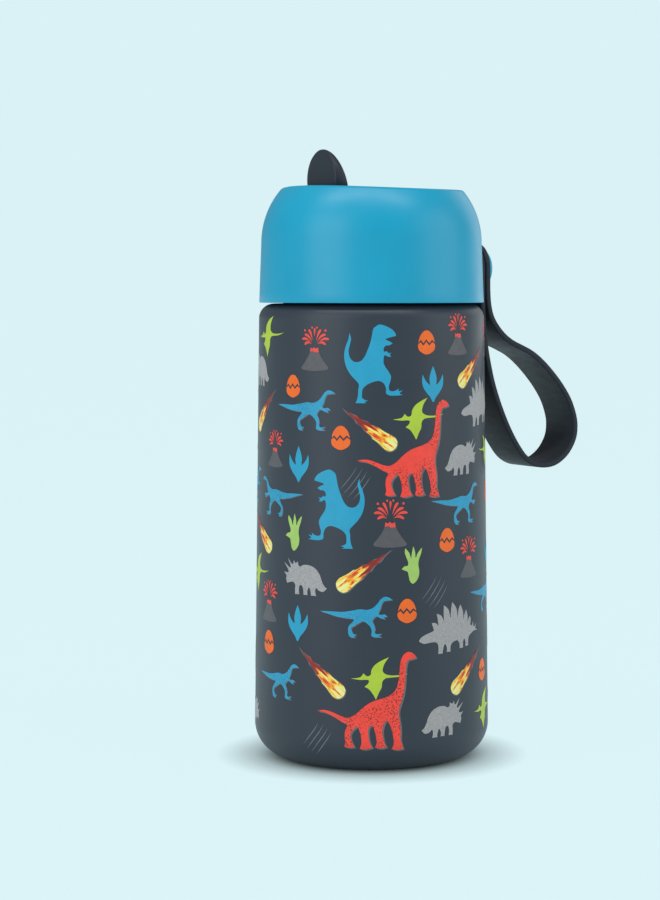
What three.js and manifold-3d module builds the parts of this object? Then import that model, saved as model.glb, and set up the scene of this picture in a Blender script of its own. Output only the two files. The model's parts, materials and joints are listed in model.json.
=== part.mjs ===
// An insulated kids water bottle with a domed screw lid, a flip-up straw spout and a silicone strap.
// Millimetres, +Z up. The origin is on the bottle's axis, on the face it stands on.
// +X points to the strap at the back, -X to the side that is drunk from.

import * as THREE from "three";
import { mergeVertices } from "three/addons/utils/BufferGeometryUtils.js";
import Module from "manifold-3d";

const wasm = await Module();
wasm.setup();

// ---------------------------------------------------------------- driving dimensions

const GAP = 0.3; // left between two pieces that touch in the real bottle
const WALL = 0.5; // sheet steel of both walls
const AROUND = 48; // facets of a large turned piece
const AROUND_MID = 32;
const AROUND_SMALL = 16;

const foot = { radius: 37.0, fillet: 10.5, lipRadius: 23.5 };
const shoulder = { radius: 35.75, z: 138.0, fillet: 4.7 };
const neck = { radius: 27.5, rootRadius: 28.7, startZ: 144.0, topZ: 157.0 };

const liner = { footRadius: 31.25, topRadius: 30.15, floorZ: 6.0, fillet: 9.0, lipRadius: 22.0 };
const linerNeck = { radius: 26.6, shoulderZ: 134.5, shoulderFillet: 4.0, startZ: 139.5 };
const rim = { radius: 27.4, z: neck.topZ + GAP, thickness: 0.8 };

const baseCup = { radius: 23.2, wallRadius: 20.9, deckZ: 2.4, holeRadius: 1.2 };
const baseDisc = { radius: 20.0, lipHeight: 1.6 };
const bead = { radius: 2.2, bottomZ: 1.0, edgeZ: 1.4, stemTopZ: 3.2 };
const tablet = { x: 10.0, radius: 4.1, bottomZ: 4.1, topZ: 5.3 };
const holder = { radius: 4.7, bottomZ: 3.4, topZ: 5.7, wall: 0.3, floor: 0.4 };

const thread = { pitch: 4.0, turns: 1.25, ridge: 0.9, stepsPerTurn: 24 };
const neckThreadZ = 149.0;
const lidThreadZ = 146.5;

const lid = {
  skirtZ: 143.0,
  skirtRadius: 35.7,
  domeZ: 162.0,
  domeRadius: 35.05,
  arc: 26.2,
  wall: 2.0,
  ceilingZ: 176.8,
};
const crown = { z: 179.2, radius: 467.0, tilt: 0.0115 };
const cap = { skirtZ: 144.0, radius: 31.4, boreRadius: 29.6, deckZ: 160.5, deckThickness: 1.8 };
const capFlange = { radius: 33.3, height: 1.5, deckRadius: 32.6 };
const plug = { inner: 24.4, outer: 25.3, z: 157.0 }; // the ring that centres the lid in the mouth
const drainRadius = 5.1; // the hole in the deck under the spout's barrel
const seal = { bore: 2.2, radius: 4.8 };
const gasket = { inner: 25.6, outer: 28.3 };
const well = { front: -23.7, back: 12.4, halfWidth: 10.2, wall: 1.6, topZ: 176.5, corner: 3.0 };

const pivot = { x: 4.0, z: 168.0 };
const barrel = { radius: 5.2, halfWidth: 9.6 };
const arm = { front: -18.6, halfWidth: 5.5, halfHeight: 4.5, corner: 2.2 };
const spigot = { front: -22.0, radius: 3.0 };
const waterway = 1.9; // radius of the drilling through the spout
const tab = { front: -18.5, back: -14.0, tipBack: -17.2, radius: 9.35, z: 181.85, tipZ: 191.2 };
const pin = { radius: 1.2, inner: 5.0, outer: 11.5 };
const vent = { x: 6.0, y: -17.0, airRadius: 1.6, stem: 1.3, footRadius: 2.2, capRadius: 3.2 };

const straw = { radius: 3.3, bore: 2.6, bottomZ: 9.5, topZ: 159.1 };
const socket = { radius: 2.3, bore: 1.6, bottomZ: 150.0, flangeRadius: 7.0, flangeZ: 159.4 };

const band = { width: 16.6, thickness: 1.8, innerX: 36.9, outerX: 39.0 };
const stud = { z: 154.0, seatRadius: 7.8, seatX: 35.7, postRadius: 2.6, holeRadius: 2.9 };
const button = { radius: 6.5, backX: 40.2, rimX: 41.2, frontX: 43.2 };
const barb = { tipX: 31.75, shoulderX: 32.0, grooveX: 32.15, grooveEndX: 32.95, groove: 1.8 };
const retainer = { bore: 2.1, radius: 5.2, x: 32.3, thickness: 0.45 };

// ---------------------------------------------------------------- colours

const looks = {
  paint: { color: 0x3e4650, roughness: 0.5, metalness: 0.3 },
  steel: { color: 0xb9bcc0, roughness: 0.35, metalness: 1.0 },
  blue: { color: 0x2f9fca, roughness: 0.45, metalness: 0.0 },
  charcoal: { color: 0x32373f, roughness: 0.6, metalness: 0.0 },
  silicone: { color: 0xd9dee0, roughness: 0.6, metalness: 0.0 },
  clear: { color: 0xe6eef0, roughness: 0.25, metalness: 0.0 },
  ceramic: { color: 0x55575a, roughness: 0.8, metalness: 0.0 },
};

// ---------------------------------------------------------------- turning geometry into solids

function signedVolume(position, index) {
  const a = new THREE.Vector3();
  const b = new THREE.Vector3();
  const c = new THREE.Vector3();
  let total = 0;
  for (let i = 0; i < index.length; i += 3) {
    a.fromBufferAttribute(position, index[i]);
    b.fromBufferAttribute(position, index[i + 1]);
    c.fromBufferAttribute(position, index[i + 2]);
    total += a.dot(b.cross(c)) / 6;
  }
  return total;
}

// A closed solid from a three.js geometry, with faces out.
function solid(geometry) {
  const bare = geometry.clone();
  bare.deleteAttribute("normal");
  bare.deleteAttribute("uv");
  const merged = mergeVertices(bare, 1e-3);
  const raw = Array.from(merged.index.array);
  const kept = [];
  for (let i = 0; i < raw.length; i += 3) {
    const [a, b, c] = raw.slice(i, i + 3);
    if (a !== b && b !== c && c !== a) {
      kept.push(a, b, c);
    }
  }
  if (signedVolume(merged.attributes.position, kept) < 0) {
    for (let i = 0; i < kept.length; i += 3) {
      [kept[i + 1], kept[i + 2]] = [kept[i + 2], kept[i + 1]];
    }
  }
  const mesh = new wasm.Mesh({
    numProp: 3,
    vertProperties: new Float32Array(merged.attributes.position.array),
    triVerts: new Uint32Array(kept),
  });
  return new wasm.Manifold(mesh);
}

function named(name, body, look) {
  const mesh = body.getMesh();
  const geometry = new THREE.BufferGeometry();
  geometry.setAttribute("position", new THREE.BufferAttribute(mesh.vertProperties, 3));
  geometry.setIndex(new THREE.BufferAttribute(mesh.triVerts, 1));
  geometry.computeVertexNormals();
  const material = new THREE.MeshStandardMaterial(looks[look]);
  const node = new THREE.Mesh(geometry, material);
  node.name = name;
  return node;
}

// ---------------------------------------------------------------- shapes

// Points of an arc in the plane of a profile: centre, radius, start and end angle in degrees.
function arc(centreR, centreZ, radius, from, to, steps) {
  const points = [];
  for (let i = 0; i <= steps; i += 1) {
    const angle = THREE.MathUtils.degToRad(from + ((to - from) * i) / steps);
    points.push([centreR + radius * Math.cos(angle), centreZ + radius * Math.sin(angle)]);
  }
  return points;
}

// A turned solid about the Z axis. The profile starts and ends on the axis, or closes on itself.
function turned(profile, segments = AROUND) {
  const closed = profile[0][0] === 0 ? profile : [...profile, profile[0]];
  const points = closed.map(([r, z]) => new THREE.Vector2(r, z));
  const geometry = new THREE.LatheGeometry(points, segments);
  geometry.rotateX(Math.PI / 2);
  return solid(geometry);
}

function ring(inner, outer, low, high, segments) {
  return turned([[inner, low], [outer, low], [outer, high], [inner, high]], segments);
}

function disc(radius, low, high, segments) {
  return turned([[0, low], [radius, low], [radius, high], [0, high]], segments);
}

// A cylinder along X or Y, centred on the other two coordinates.
function rodX(radius, fromX, toX, y, z, segments = AROUND_SMALL) {
  const geometry = new THREE.CylinderGeometry(radius, radius, toX - fromX, segments);
  geometry.rotateZ(Math.PI / 2);
  geometry.translate((fromX + toX) / 2, y, z);
  return solid(geometry);
}

function rodY(radius, fromY, toY, x, z, segments = AROUND_SMALL) {
  const geometry = new THREE.CylinderGeometry(radius, radius, toY - fromY, segments);
  geometry.translate(x, (fromY + toY) / 2, z);
  return solid(geometry);
}

function roundedOutline(path, halfU, halfV, corner, steps = 5) {
  const centres = [[1, 1, 0], [-1, 1, 90], [-1, -1, 180], [1, -1, 270]];
  const points = [];
  for (const [su, sv, start] of centres) {
    for (const [u, v] of arc(0, 0, corner, start, start + 90, steps)) {
      points.push(new THREE.Vector2(su * (halfU - corner) + u, sv * (halfV - corner) + v));
    }
  }
  path.setFromPoints(points);
  return path;
}

function extruded(shape, depth) {
  return new THREE.ExtrudeGeometry(shape, { depth, bevelEnabled: false, steps: 1 });
}

// An extrusion along X of an outline in (Y, Z).
function alongX(shape, fromX, toX, y = 0, z = 0) {
  const geometry = extruded(shape, toX - fromX);
  const turn = new THREE.Matrix4().makeBasis(
    new THREE.Vector3(0, 1, 0),
    new THREE.Vector3(0, 0, 1),
    new THREE.Vector3(1, 0, 0),
  );
  geometry.applyMatrix4(turn);
  geometry.translate(fromX, y, z);
  return solid(geometry);
}

// An extrusion along Y of an outline in (Z, X).
function alongY(shape, fromY, toY) {
  const geometry = extruded(shape, toY - fromY);
  const turn = new THREE.Matrix4().makeBasis(
    new THREE.Vector3(0, 0, 1),
    new THREE.Vector3(1, 0, 0),
    new THREE.Vector3(0, 1, 0),
  );
  geometry.applyMatrix4(turn);
  geometry.translate(0, fromY, 0);
  return solid(geometry);
}

// An upright prism with rounded corners, from x1 to x2 and as far either side of Y = 0.
function uprightPrism(x1, x2, halfWidth, low, high, corner) {
  const outline = roundedOutline(new THREE.Shape(), (x2 - x1) / 2, halfWidth, corner);
  const geometry = extruded(outline, high - low);
  geometry.translate((x1 + x2) / 2, 0, low);
  return solid(geometry);
}

class Helix extends THREE.Curve {
  constructor(radius, startZ) {
    super();
    this.radius = radius;
    this.startZ = startZ;
  }

  getPoint(t, target = new THREE.Vector3()) {
    const angle = 2 * Math.PI * thread.turns * t;
    const z = this.startZ + thread.pitch * thread.turns * t;
    return target.set(this.radius * Math.cos(angle), this.radius * Math.sin(angle), z);
  }
}

function screwRidge(radius, startZ) {
  const section = new THREE.Shape();
  section.absarc(0, 0, thread.ridge, 0, 2 * Math.PI, false);
  const geometry = new THREE.ExtrudeGeometry(section, {
    steps: Math.round(thread.stepsPerTurn * thread.turns),
    curveSegments: 3,
    bevelEnabled: false,
    extrudePath: new Helix(radius, startZ),
  });
  return solid(geometry);
}

// ---------------------------------------------------------------- the flask

function outerShell() {
  const arcs = 5;
  const footCentre = foot.radius - foot.fillet;
  const topCentre = shoulder.radius - shoulder.fillet;
  const topZ = shoulder.z + shoulder.fillet;
  const bore = neck.radius - WALL;
  const profile = [
    [foot.lipRadius, 0],
    ...arc(footCentre, foot.fillet, foot.fillet, -90, 0, arcs),
    ...arc(topCentre, shoulder.z, shoulder.fillet, 0, 90, 3),
    [neck.rootRadius, topZ],
    [neck.radius + 0.3, topZ + 0.4],
    [neck.radius, neck.startZ],
    [neck.radius, neck.topZ],
    [bore, neck.topZ],
    [bore, neck.startZ - 0.4],
    [neck.rootRadius - 0.6, topZ - WALL],
    ...arc(topCentre, shoulder.z, shoulder.fillet - WALL, 90, 0, 3),
    ...arc(footCentre, foot.fillet, foot.fillet - WALL, 0, -90, arcs),
    [foot.lipRadius, WALL],
  ];
  const core = disc(bore + WALL / 2, neck.startZ, neck.topZ, AROUND);
  return turned(profile).add(screwRidge(neck.radius - 0.05, neckThreadZ).subtract(core));
}

function outerBase() {
  const inside = baseCup.wallRadius - WALL;
  return turned([
    [baseCup.holeRadius, baseCup.deckZ],
    [inside, baseCup.deckZ],
    [inside, 0],
    [baseCup.radius, 0],
    [baseCup.radius, WALL],
    [baseCup.wallRadius, WALL],
    [baseCup.wallRadius, baseCup.deckZ + WALL],
    [baseCup.holeRadius, baseCup.deckZ + WALL],
  ], AROUND_MID);
}

function baseCover() {
  return turned([
    [0, 0],
    [baseDisc.radius, 0],
    [baseDisc.radius, baseDisc.lipHeight],
    [baseDisc.radius - WALL, baseDisc.lipHeight],
    [baseDisc.radius - WALL, WALL],
    [0, WALL],
  ], AROUND_MID);
}

function vacuumSeal() {
  const stem = baseCup.holeRadius - GAP;
  const headZ = baseCup.deckZ - GAP;
  return turned([
    [0, bead.bottomZ],
    [bead.radius - 0.2, bead.edgeZ],
    [bead.radius, headZ],
    [stem, headZ],
    [stem, bead.stemTopZ],
    [0, bead.stemTopZ],
  ], AROUND_SMALL);
}

function innerLiner() {
  const arcs = 4;
  const footCentre = liner.footRadius - liner.fillet;
  const footZ = liner.floorZ + liner.fillet;
  const topCentre = liner.topRadius - linerNeck.shoulderFillet;
  const bore = linerNeck.radius - WALL;
  const inner = linerNeck.shoulderFillet - WALL;
  const profile = [
    [liner.lipRadius, liner.floorZ],
    ...arc(footCentre, footZ, liner.fillet, -90, 0, arcs),
    ...arc(topCentre, linerNeck.shoulderZ, linerNeck.shoulderFillet, 0, 75, 3),
    [linerNeck.radius, linerNeck.startZ],
    [linerNeck.radius, rim.z],
    [rim.radius, rim.z],
    [rim.radius, rim.z + rim.thickness * 0.6],
    [rim.radius - 0.5, rim.z + rim.thickness],
    [bore, rim.z + rim.thickness * 0.6],
    [bore, linerNeck.startZ - 0.1],
    ...arc(topCentre, linerNeck.shoulderZ, inner, 70, 0, 3),
    ...arc(footCentre, footZ, liner.fillet - WALL, 0, -90, arcs),
    [liner.lipRadius, liner.floorZ + WALL],
  ];
  return turned(profile);
}

const linerBase = () => disc(liner.lipRadius - GAP, liner.floorZ, liner.floorZ + WALL, AROUND_MID);

function getter() {
  const body = disc(tablet.radius, tablet.bottomZ, tablet.topZ, AROUND_SMALL);
  return body.translate([tablet.x, 0, 0]);
}

function getterHolder() {
  const inside = holder.radius - holder.wall;
  const cup = turned([
    [0, holder.bottomZ],
    [holder.radius, holder.bottomZ],
    [holder.radius, holder.topZ],
    [inside, holder.topZ],
    [inside, holder.bottomZ + holder.floor],
    [0, holder.bottomZ + holder.floor],
  ], AROUND_SMALL);
  return cup.translate([tablet.x, 0, 0]);
}

// ---------------------------------------------------------------- the lid

// Everything below the slightly crowned, slightly tilted surface that cuts the dome off.
function underCrown() {
  const halfWidth = 40;
  const steps = 12;
  const outline = new THREE.Shape();
  outline.moveTo(-halfWidth, lid.skirtZ - 10);
  outline.lineTo(halfWidth, lid.skirtZ - 10);
  for (let i = 0; i <= steps; i += 1) {
    const y = halfWidth - (2 * halfWidth * i) / steps;
    outline.lineTo(y, crown.z - (y * y) / (2 * crown.radius));
  }
  const tiltDegrees = THREE.MathUtils.radToDeg(crown.tilt);
  return alongX(outline, -halfWidth, halfWidth, 0, -crown.z)
    .rotate([0, tiltDegrees, 0])
    .translate([0, 0, crown.z]);
}

function lidCover() {
  const arcR = lid.domeRadius - lid.arc;
  const innerArc = lid.arc - lid.wall;
  const ceiling = Math.asin((lid.ceilingZ - lid.domeZ) / innerArc);
  const aboveCrown = 50;
  const dome = arc(arcR, lid.domeZ, lid.arc, 0, aboveCrown, 7);
  const inside = arc(arcR, lid.domeZ, innerArc, THREE.MathUtils.radToDeg(ceiling), 0, 4);
  const shell = turned([
    [0, lid.ceilingZ],
    ...inside,
    [lid.skirtRadius - lid.wall, lid.skirtZ],
    [lid.skirtRadius, lid.skirtZ],
    ...dome,
    [0, dome[dome.length - 1][1]],
  ]);
  const seat = rodX(stud.seatRadius, 33.0, stud.seatX, 0, stud.z, AROUND_MID);
  const slot = uprightPrism(
    well.front - 0.2,
    well.back + 0.2,
    well.halfWidth + 0.2,
    lid.ceilingZ - 5,
    crown.z + 5,
    well.corner,
  );
  const postHole = rodX(stud.holeRadius, 30, 40, 0, stud.z);
  return shell.intersect(underCrown()).add(seat).subtract(slot).subtract(postHole);
}

function lidInnerCap() {
  const deckTop = cap.deckZ + cap.deckThickness;
  const body = turned([
    [0, cap.deckZ],
    [plug.inner, cap.deckZ],
    [plug.inner, plug.z],
    [plug.outer, plug.z],
    [plug.outer, cap.deckZ],
    [cap.boreRadius, cap.deckZ],
    [cap.boreRadius, cap.skirtZ],
    [capFlange.radius, cap.skirtZ],
    [capFlange.radius, cap.skirtZ + capFlange.height],
    [cap.radius, cap.skirtZ + capFlange.height],
    [cap.radius, cap.deckZ],
    [capFlange.deckRadius, cap.deckZ],
    [capFlange.deckRadius, deckTop],
    [0, deckTop],
  ]);
  const walls = uprightPrism(
    well.front - well.wall,
    well.back + well.wall,
    well.halfWidth + well.wall,
    deckTop - 0.5,
    well.topZ,
    well.corner + well.wall,
  );
  const inside = uprightPrism(
    well.front,
    well.back,
    well.halfWidth,
    deckTop,
    well.topZ + 1,
    well.corner,
  );
  const reach = well.halfWidth + well.wall + 1;
  const ears = rodY(pin.radius + GAP, -reach, reach, pivot.x, pivot.z);
  const low = cap.deckZ - 1;
  const high = deckTop + 1;
  const drain = disc(drainRadius, low, high, AROUND_SMALL).translate([pivot.x, 0, 0]);
  const air = disc(vent.airRadius, low, high, AROUND_SMALL).translate([vent.x, vent.y, 0]);
  return body
    .add(walls)
    .add(screwRidge(cap.boreRadius + 0.05, lidThreadZ))
    .subtract(inside)
    .subtract(ears)
    .subtract(drain)
    .subtract(air);
}

function ventValve() {
  const deckTop = cap.deckZ + cap.deckThickness;
  return turned([
    [0, cap.deckZ - 1.8],
    [vent.footRadius, cap.deckZ - 1.5],
    [vent.footRadius, cap.deckZ - GAP],
    [vent.stem, cap.deckZ - GAP],
    [vent.stem, deckTop + GAP],
    [vent.capRadius, deckTop + GAP],
    [vent.capRadius, deckTop + 0.8],
    [0, deckTop + 1.2],
  ], AROUND_SMALL).translate([vent.x, vent.y, 0]);
}

function lidGasket() {
  return ring(gasket.inner, gasket.outer, rim.z + rim.thickness + GAP, cap.deckZ - GAP, AROUND);
}

function spoutSeal() {
  const sealTopZ = pivot.z - arm.halfHeight - 0.4;
  const body = ring(seal.bore, seal.radius, cap.deckZ, sealTopZ, AROUND_SMALL);
  const saddle = rodY(barrel.radius + GAP, -12, 12, pivot.x, pivot.z, AROUND_MID);
  return body.translate([pivot.x, 0, 0]).subtract(saddle);
}

function strawSocket() {
  return turned([
    [socket.bore, socket.bottomZ],
    [socket.radius, socket.bottomZ],
    [socket.radius, socket.flangeZ],
    [socket.flangeRadius, socket.flangeZ],
    [socket.flangeRadius, cap.deckZ - GAP],
    [socket.bore, cap.deckZ - GAP],
  ], AROUND_SMALL).translate([pivot.x, 0, 0]);
}

function strawTube() {
  const tube = ring(straw.bore, straw.radius, straw.bottomZ, straw.topZ, AROUND_SMALL);
  return tube.translate([pivot.x, 0, 0]);
}

// ---------------------------------------------------------------- the spout

function thumbTab() {
  const plate = rodX(tab.radius, tab.front, tab.back + 3, 0, tab.z, AROUND_MID);
  const lean = (tab.tipBack - tab.back) / (tab.tipZ - tab.z);
  const low = 165;
  const high = tab.tipZ + 2;
  const wedge = new THREE.Shape();
  wedge.moveTo(low, tab.front);
  wedge.lineTo(high, tab.front);
  wedge.lineTo(high, tab.back + lean * (high - tab.z));
  wedge.lineTo(tab.z - 6, tab.back + lean * -6);
  wedge.lineTo(low, tab.back + 2);
  const root = new THREE.Shape();
  roundedOutline(root, arm.halfWidth, (tab.z - pivot.z) / 2, 1.0, 2);
  const stem = alongX(root, tab.front, tab.back + 3, 0, (tab.z + pivot.z) / 2);
  return plate.add(stem).intersect(alongY(wedge, -15, 15));
}

function spoutBody() {
  const section = roundedOutline(new THREE.Shape(), arm.halfWidth, arm.halfHeight, arm.corner, 3);
  const far = 30;
  let body = rodY(barrel.radius, -barrel.halfWidth, barrel.halfWidth, pivot.x, pivot.z, 32);
  body = body.add(alongX(section, arm.front, pivot.x, 0, pivot.z));
  body = body.add(rodX(spigot.radius, spigot.front, arm.front + 1, 0, pivot.z));
  body = body.add(thumbTab());
  body = body.subtract(rodX(waterway, -far, far, 0, pivot.z, 16));
  const blind = pin.inner - GAP;
  body = body.subtract(rodY(pin.radius + GAP, blind, far, pivot.x, pivot.z));
  return body.subtract(rodY(pin.radius + GAP, -far, -blind, pivot.x, pivot.z));
}

function mouthpiece() {
  const tip = spigot.front - 0.8;
  const section = roundedOutline(new THREE.Shape(), arm.halfWidth, arm.halfHeight, arm.corner, 3);
  return alongX(section, tip, arm.front - GAP, 0, pivot.z)
    .subtract(rodX(spigot.radius + GAP, spigot.front - GAP, -10, 0, pivot.z))
    .subtract(rodX(waterway, -30, -10, 0, pivot.z, 16));
}

const pivotPin = (side) => {
  const ends = [side * pin.inner, side * pin.outer].sort((a, b) => a - b);
  return rodY(pin.radius, ends[0], ends[1], pivot.x, pivot.z);
};

// ---------------------------------------------------------------- the strap and its button

// The band's centre line in (X, Z), from the end next to the lid, round the loop, to the other end.
const bandLine = [
  [band.innerX, stud.z + band.width / 2],
  [band.innerX, 154.0],
  [band.innerX, 146.0],
  [37.1, 139.0],
  [37.5, 133.5],
  [38.2, 128.4],
  [39.1, 123.6],
  [40.7, 117.1],
  [42.8, 111.0],
  [45.4, 104.9],
  [48.0, 99.9],
  [50.6, 95.8],
  [53.4, 92.4],
  [56.8, 90.3],
  [60.5, 89.6],
  [64.2, 89.9],
  [67.3, 91.3],
  [70.3, 93.9],
  [72.6, 97.7],
  [73.3, 101.4],
  [72.9, 105.2],
  [71.0, 110.3],
  [67.8, 115.2],
  [63.9, 119.7],
  [60.0, 123.4],
  [56.2, 126.2],
  [52.3, 128.1],
  [48.7, 129.7],
  [45.4, 131.9],
  [42.6, 134.8],
  [40.5, 138.1],
  [39.4, 142.0],
  [band.outerX, 147.0],
  [band.outerX, 154.0],
  [band.outerX, stud.z + band.width / 2],
];

function strapLoop() {
  const line = new THREE.SplineCurve(bandLine.map(([x, z]) => new THREE.Vector2(z, x)));
  const steps = Math.round(1.5 * (bandLine.length - 1));
  const left = [];
  const right = [];
  for (let i = 0; i <= steps; i += 1) {
    const at = line.getPoint(i / steps);
    const along = line.getTangent(i / steps);
    const across = new THREE.Vector2(-along.y, along.x).multiplyScalar(band.thickness / 2);
    left.push(at.clone().add(across));
    right.push(at.clone().sub(across));
  }
  const outline = new THREE.Shape([...left, ...right.reverse()]);
  const half = band.width / 2;
  const loop = alongY(outline, -half, half);
  const top = new THREE.Shape();
  top.moveTo(-half - 1, 0);
  top.lineTo(half + 1, 0);
  top.lineTo(half + 1, half + 1);
  top.lineTo(-half - 1, half + 1);
  const corners = alongX(top, 30, 45, 0, stud.z).subtract(rodX(half, 29, 46, 0, stud.z, 48));
  return loop.subtract(corners).subtract(rodX(stud.holeRadius, 30, 45, 0, stud.z));
}

function strapButton() {
  const profile = [
    [0, barb.tipX],
    [barb.groove + 0.4, barb.tipX],
    [barb.groove + 0.6, barb.shoulderX],
    [barb.groove, barb.grooveX],
    [barb.groove, barb.grooveEndX],
    [stud.postRadius, barb.grooveEndX + 0.05],
    [stud.postRadius, button.backX],
    [button.radius, button.backX],
    [button.radius, button.rimX],
    [button.radius * 0.9, button.rimX + 0.9],
    [button.radius * 0.68, button.frontX - 0.55],
    [button.radius * 0.36, button.frontX - 0.12],
    [0, button.frontX],
  ];
  return turned(profile, 32).rotate([0, 90, 0]).translate([0, 0, stud.z]);
}

function buttonRetainer() {
  const far = retainer.x + retainer.thickness;
  const washer = ring(retainer.bore, retainer.radius, retainer.x, far, AROUND_SMALL);
  return washer.rotate([0, 90, 0]).translate([0, 0, stud.z]);
}

// ---------------------------------------------------------------- the assembly

const bottle = new THREE.Group();
bottle.name = "kids_water_bottle";
bottle.add(
  named("outer_shell", outerShell(), "paint"),
  named("outer_base", outerBase(), "steel"),
  named("base_cover", baseCover(), "steel"),
  named("vacuum_seal", vacuumSeal(), "ceramic"),
  named("inner_liner", innerLiner(), "steel"),
  named("liner_base", linerBase(), "steel"),
  named("getter", getter(), "ceramic"),
  named("getter_holder", getterHolder(), "steel"),
  named("lid_gasket", lidGasket(), "silicone"),
  named("lid_cover", lidCover(), "blue"),
  named("lid_inner_cap", lidInnerCap(), "charcoal"),
  named("vent_valve", ventValve(), "silicone"),
  named("spout_seal", spoutSeal(), "silicone"),
  named("straw_socket", strawSocket(), "charcoal"),
  named("straw", strawTube(), "clear"),
  named("pivot_pin_left", pivotPin(-1), "steel"),
  named("pivot_pin_right", pivotPin(1), "steel"),
  named("spout_body", spoutBody(), "charcoal"),
  named("mouthpiece", mouthpiece(), "silicone"),
  named("strap", strapLoop(), "charcoal"),
  named("strap_button", strapButton(), "blue"),
  named("button_retainer", buttonRetainer(), "steel"),
);

export default bottle;
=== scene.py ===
"""Fine visual model of an insulated kids water bottle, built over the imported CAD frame.

Lengths in the tables are millimetres in the bottle's own frame: origin on the axis at the base,
+Z up, +X towards the strap. MM turns them into metres.
"""

import json
import math

import bmesh
import bpy
from mathutils import Matrix, Vector, geometry


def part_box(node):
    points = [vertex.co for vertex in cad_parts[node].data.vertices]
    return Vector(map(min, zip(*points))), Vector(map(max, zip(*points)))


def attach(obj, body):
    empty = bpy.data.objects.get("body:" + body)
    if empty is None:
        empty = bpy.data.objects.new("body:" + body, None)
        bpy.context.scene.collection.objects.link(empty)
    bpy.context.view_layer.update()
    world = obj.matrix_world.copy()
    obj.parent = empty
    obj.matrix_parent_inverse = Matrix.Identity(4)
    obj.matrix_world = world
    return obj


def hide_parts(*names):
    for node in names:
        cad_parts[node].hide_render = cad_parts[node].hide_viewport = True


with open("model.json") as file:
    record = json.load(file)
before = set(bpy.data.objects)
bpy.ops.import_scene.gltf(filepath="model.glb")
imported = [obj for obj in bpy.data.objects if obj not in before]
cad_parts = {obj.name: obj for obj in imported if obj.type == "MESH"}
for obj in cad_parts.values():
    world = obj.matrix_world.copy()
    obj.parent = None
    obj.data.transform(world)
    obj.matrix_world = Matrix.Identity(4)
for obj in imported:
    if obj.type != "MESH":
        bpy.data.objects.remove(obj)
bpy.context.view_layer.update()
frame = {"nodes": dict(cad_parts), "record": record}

MM = 0.001
AROUND = 224  # points round the large turned pieces
VIEW_FACING = 240.0  # bearing of the side that faces the camera, in degrees from +X


# ------------------------------------------------------------------ sizes read from the CAD frame


def node_box(name):
    low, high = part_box(name)
    return [v / MM for v in low], [v / MM for v in high]


SHELL_HIGH = node_box("outer_shell")[1]
BUTTON_LOW, BUTTON_HIGH = node_box("strap_button")
STRAW_LOW, STRAW_HIGH = node_box("straw")

FOOT_R = SHELL_HIGH[1]
FOOT_FILLET = 10.5
TOP_R = 35.75
TOP_Z = 138.0  # where the straight wall ends and the shoulder's curve begins
TOP_FILLET = 4.7
WALL = 0.5
NECK_R = 27.5
NECK_TOP = 157.0
THREAD_TURNS = 1.25
THREAD_PITCH = 4.0
THREAD_HEIGHT = 0.85
STUD_Z = (BUTTON_LOW[2] + BUTTON_HIGH[2]) / 2
PIVOT_X = 4.0
PIVOT_Z = 168.0
SPOUT_HINGE = (PIVOT_X, 0, PIVOT_Z)


def body_radius(z):
    """Radius of the painted wall at height z, its two rounded ends included."""
    if z < FOOT_FILLET:
        drop = FOOT_FILLET - max(z, 0.0)
        return FOOT_R - FOOT_FILLET + math.sqrt(FOOT_FILLET**2 - drop**2)
    if z > TOP_Z:
        rise = min(z - TOP_Z, TOP_FILLET)
        return TOP_R - TOP_FILLET + math.sqrt(TOP_FILLET**2 - rise**2)
    return FOOT_R + (TOP_R - FOOT_R) * (z - FOOT_FILLET) / (TOP_Z - FOOT_FILLET)


# ------------------------------------------------------------------ colours and materials


def srgb(red, green, blue):
    """An 8-bit screen colour as the linear colour the shaders take."""
    out = []
    for value in (red, green, blue):
        c = value / 255
        out.append(c / 12.92 if c <= 0.04045 else ((c + 0.055) / 1.055) ** 2.4)
    return (*out, 1.0)


def tinted(colour, factor):
    return (*[min(1.0, c * factor) for c in colour[:3]], 1.0)


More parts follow.
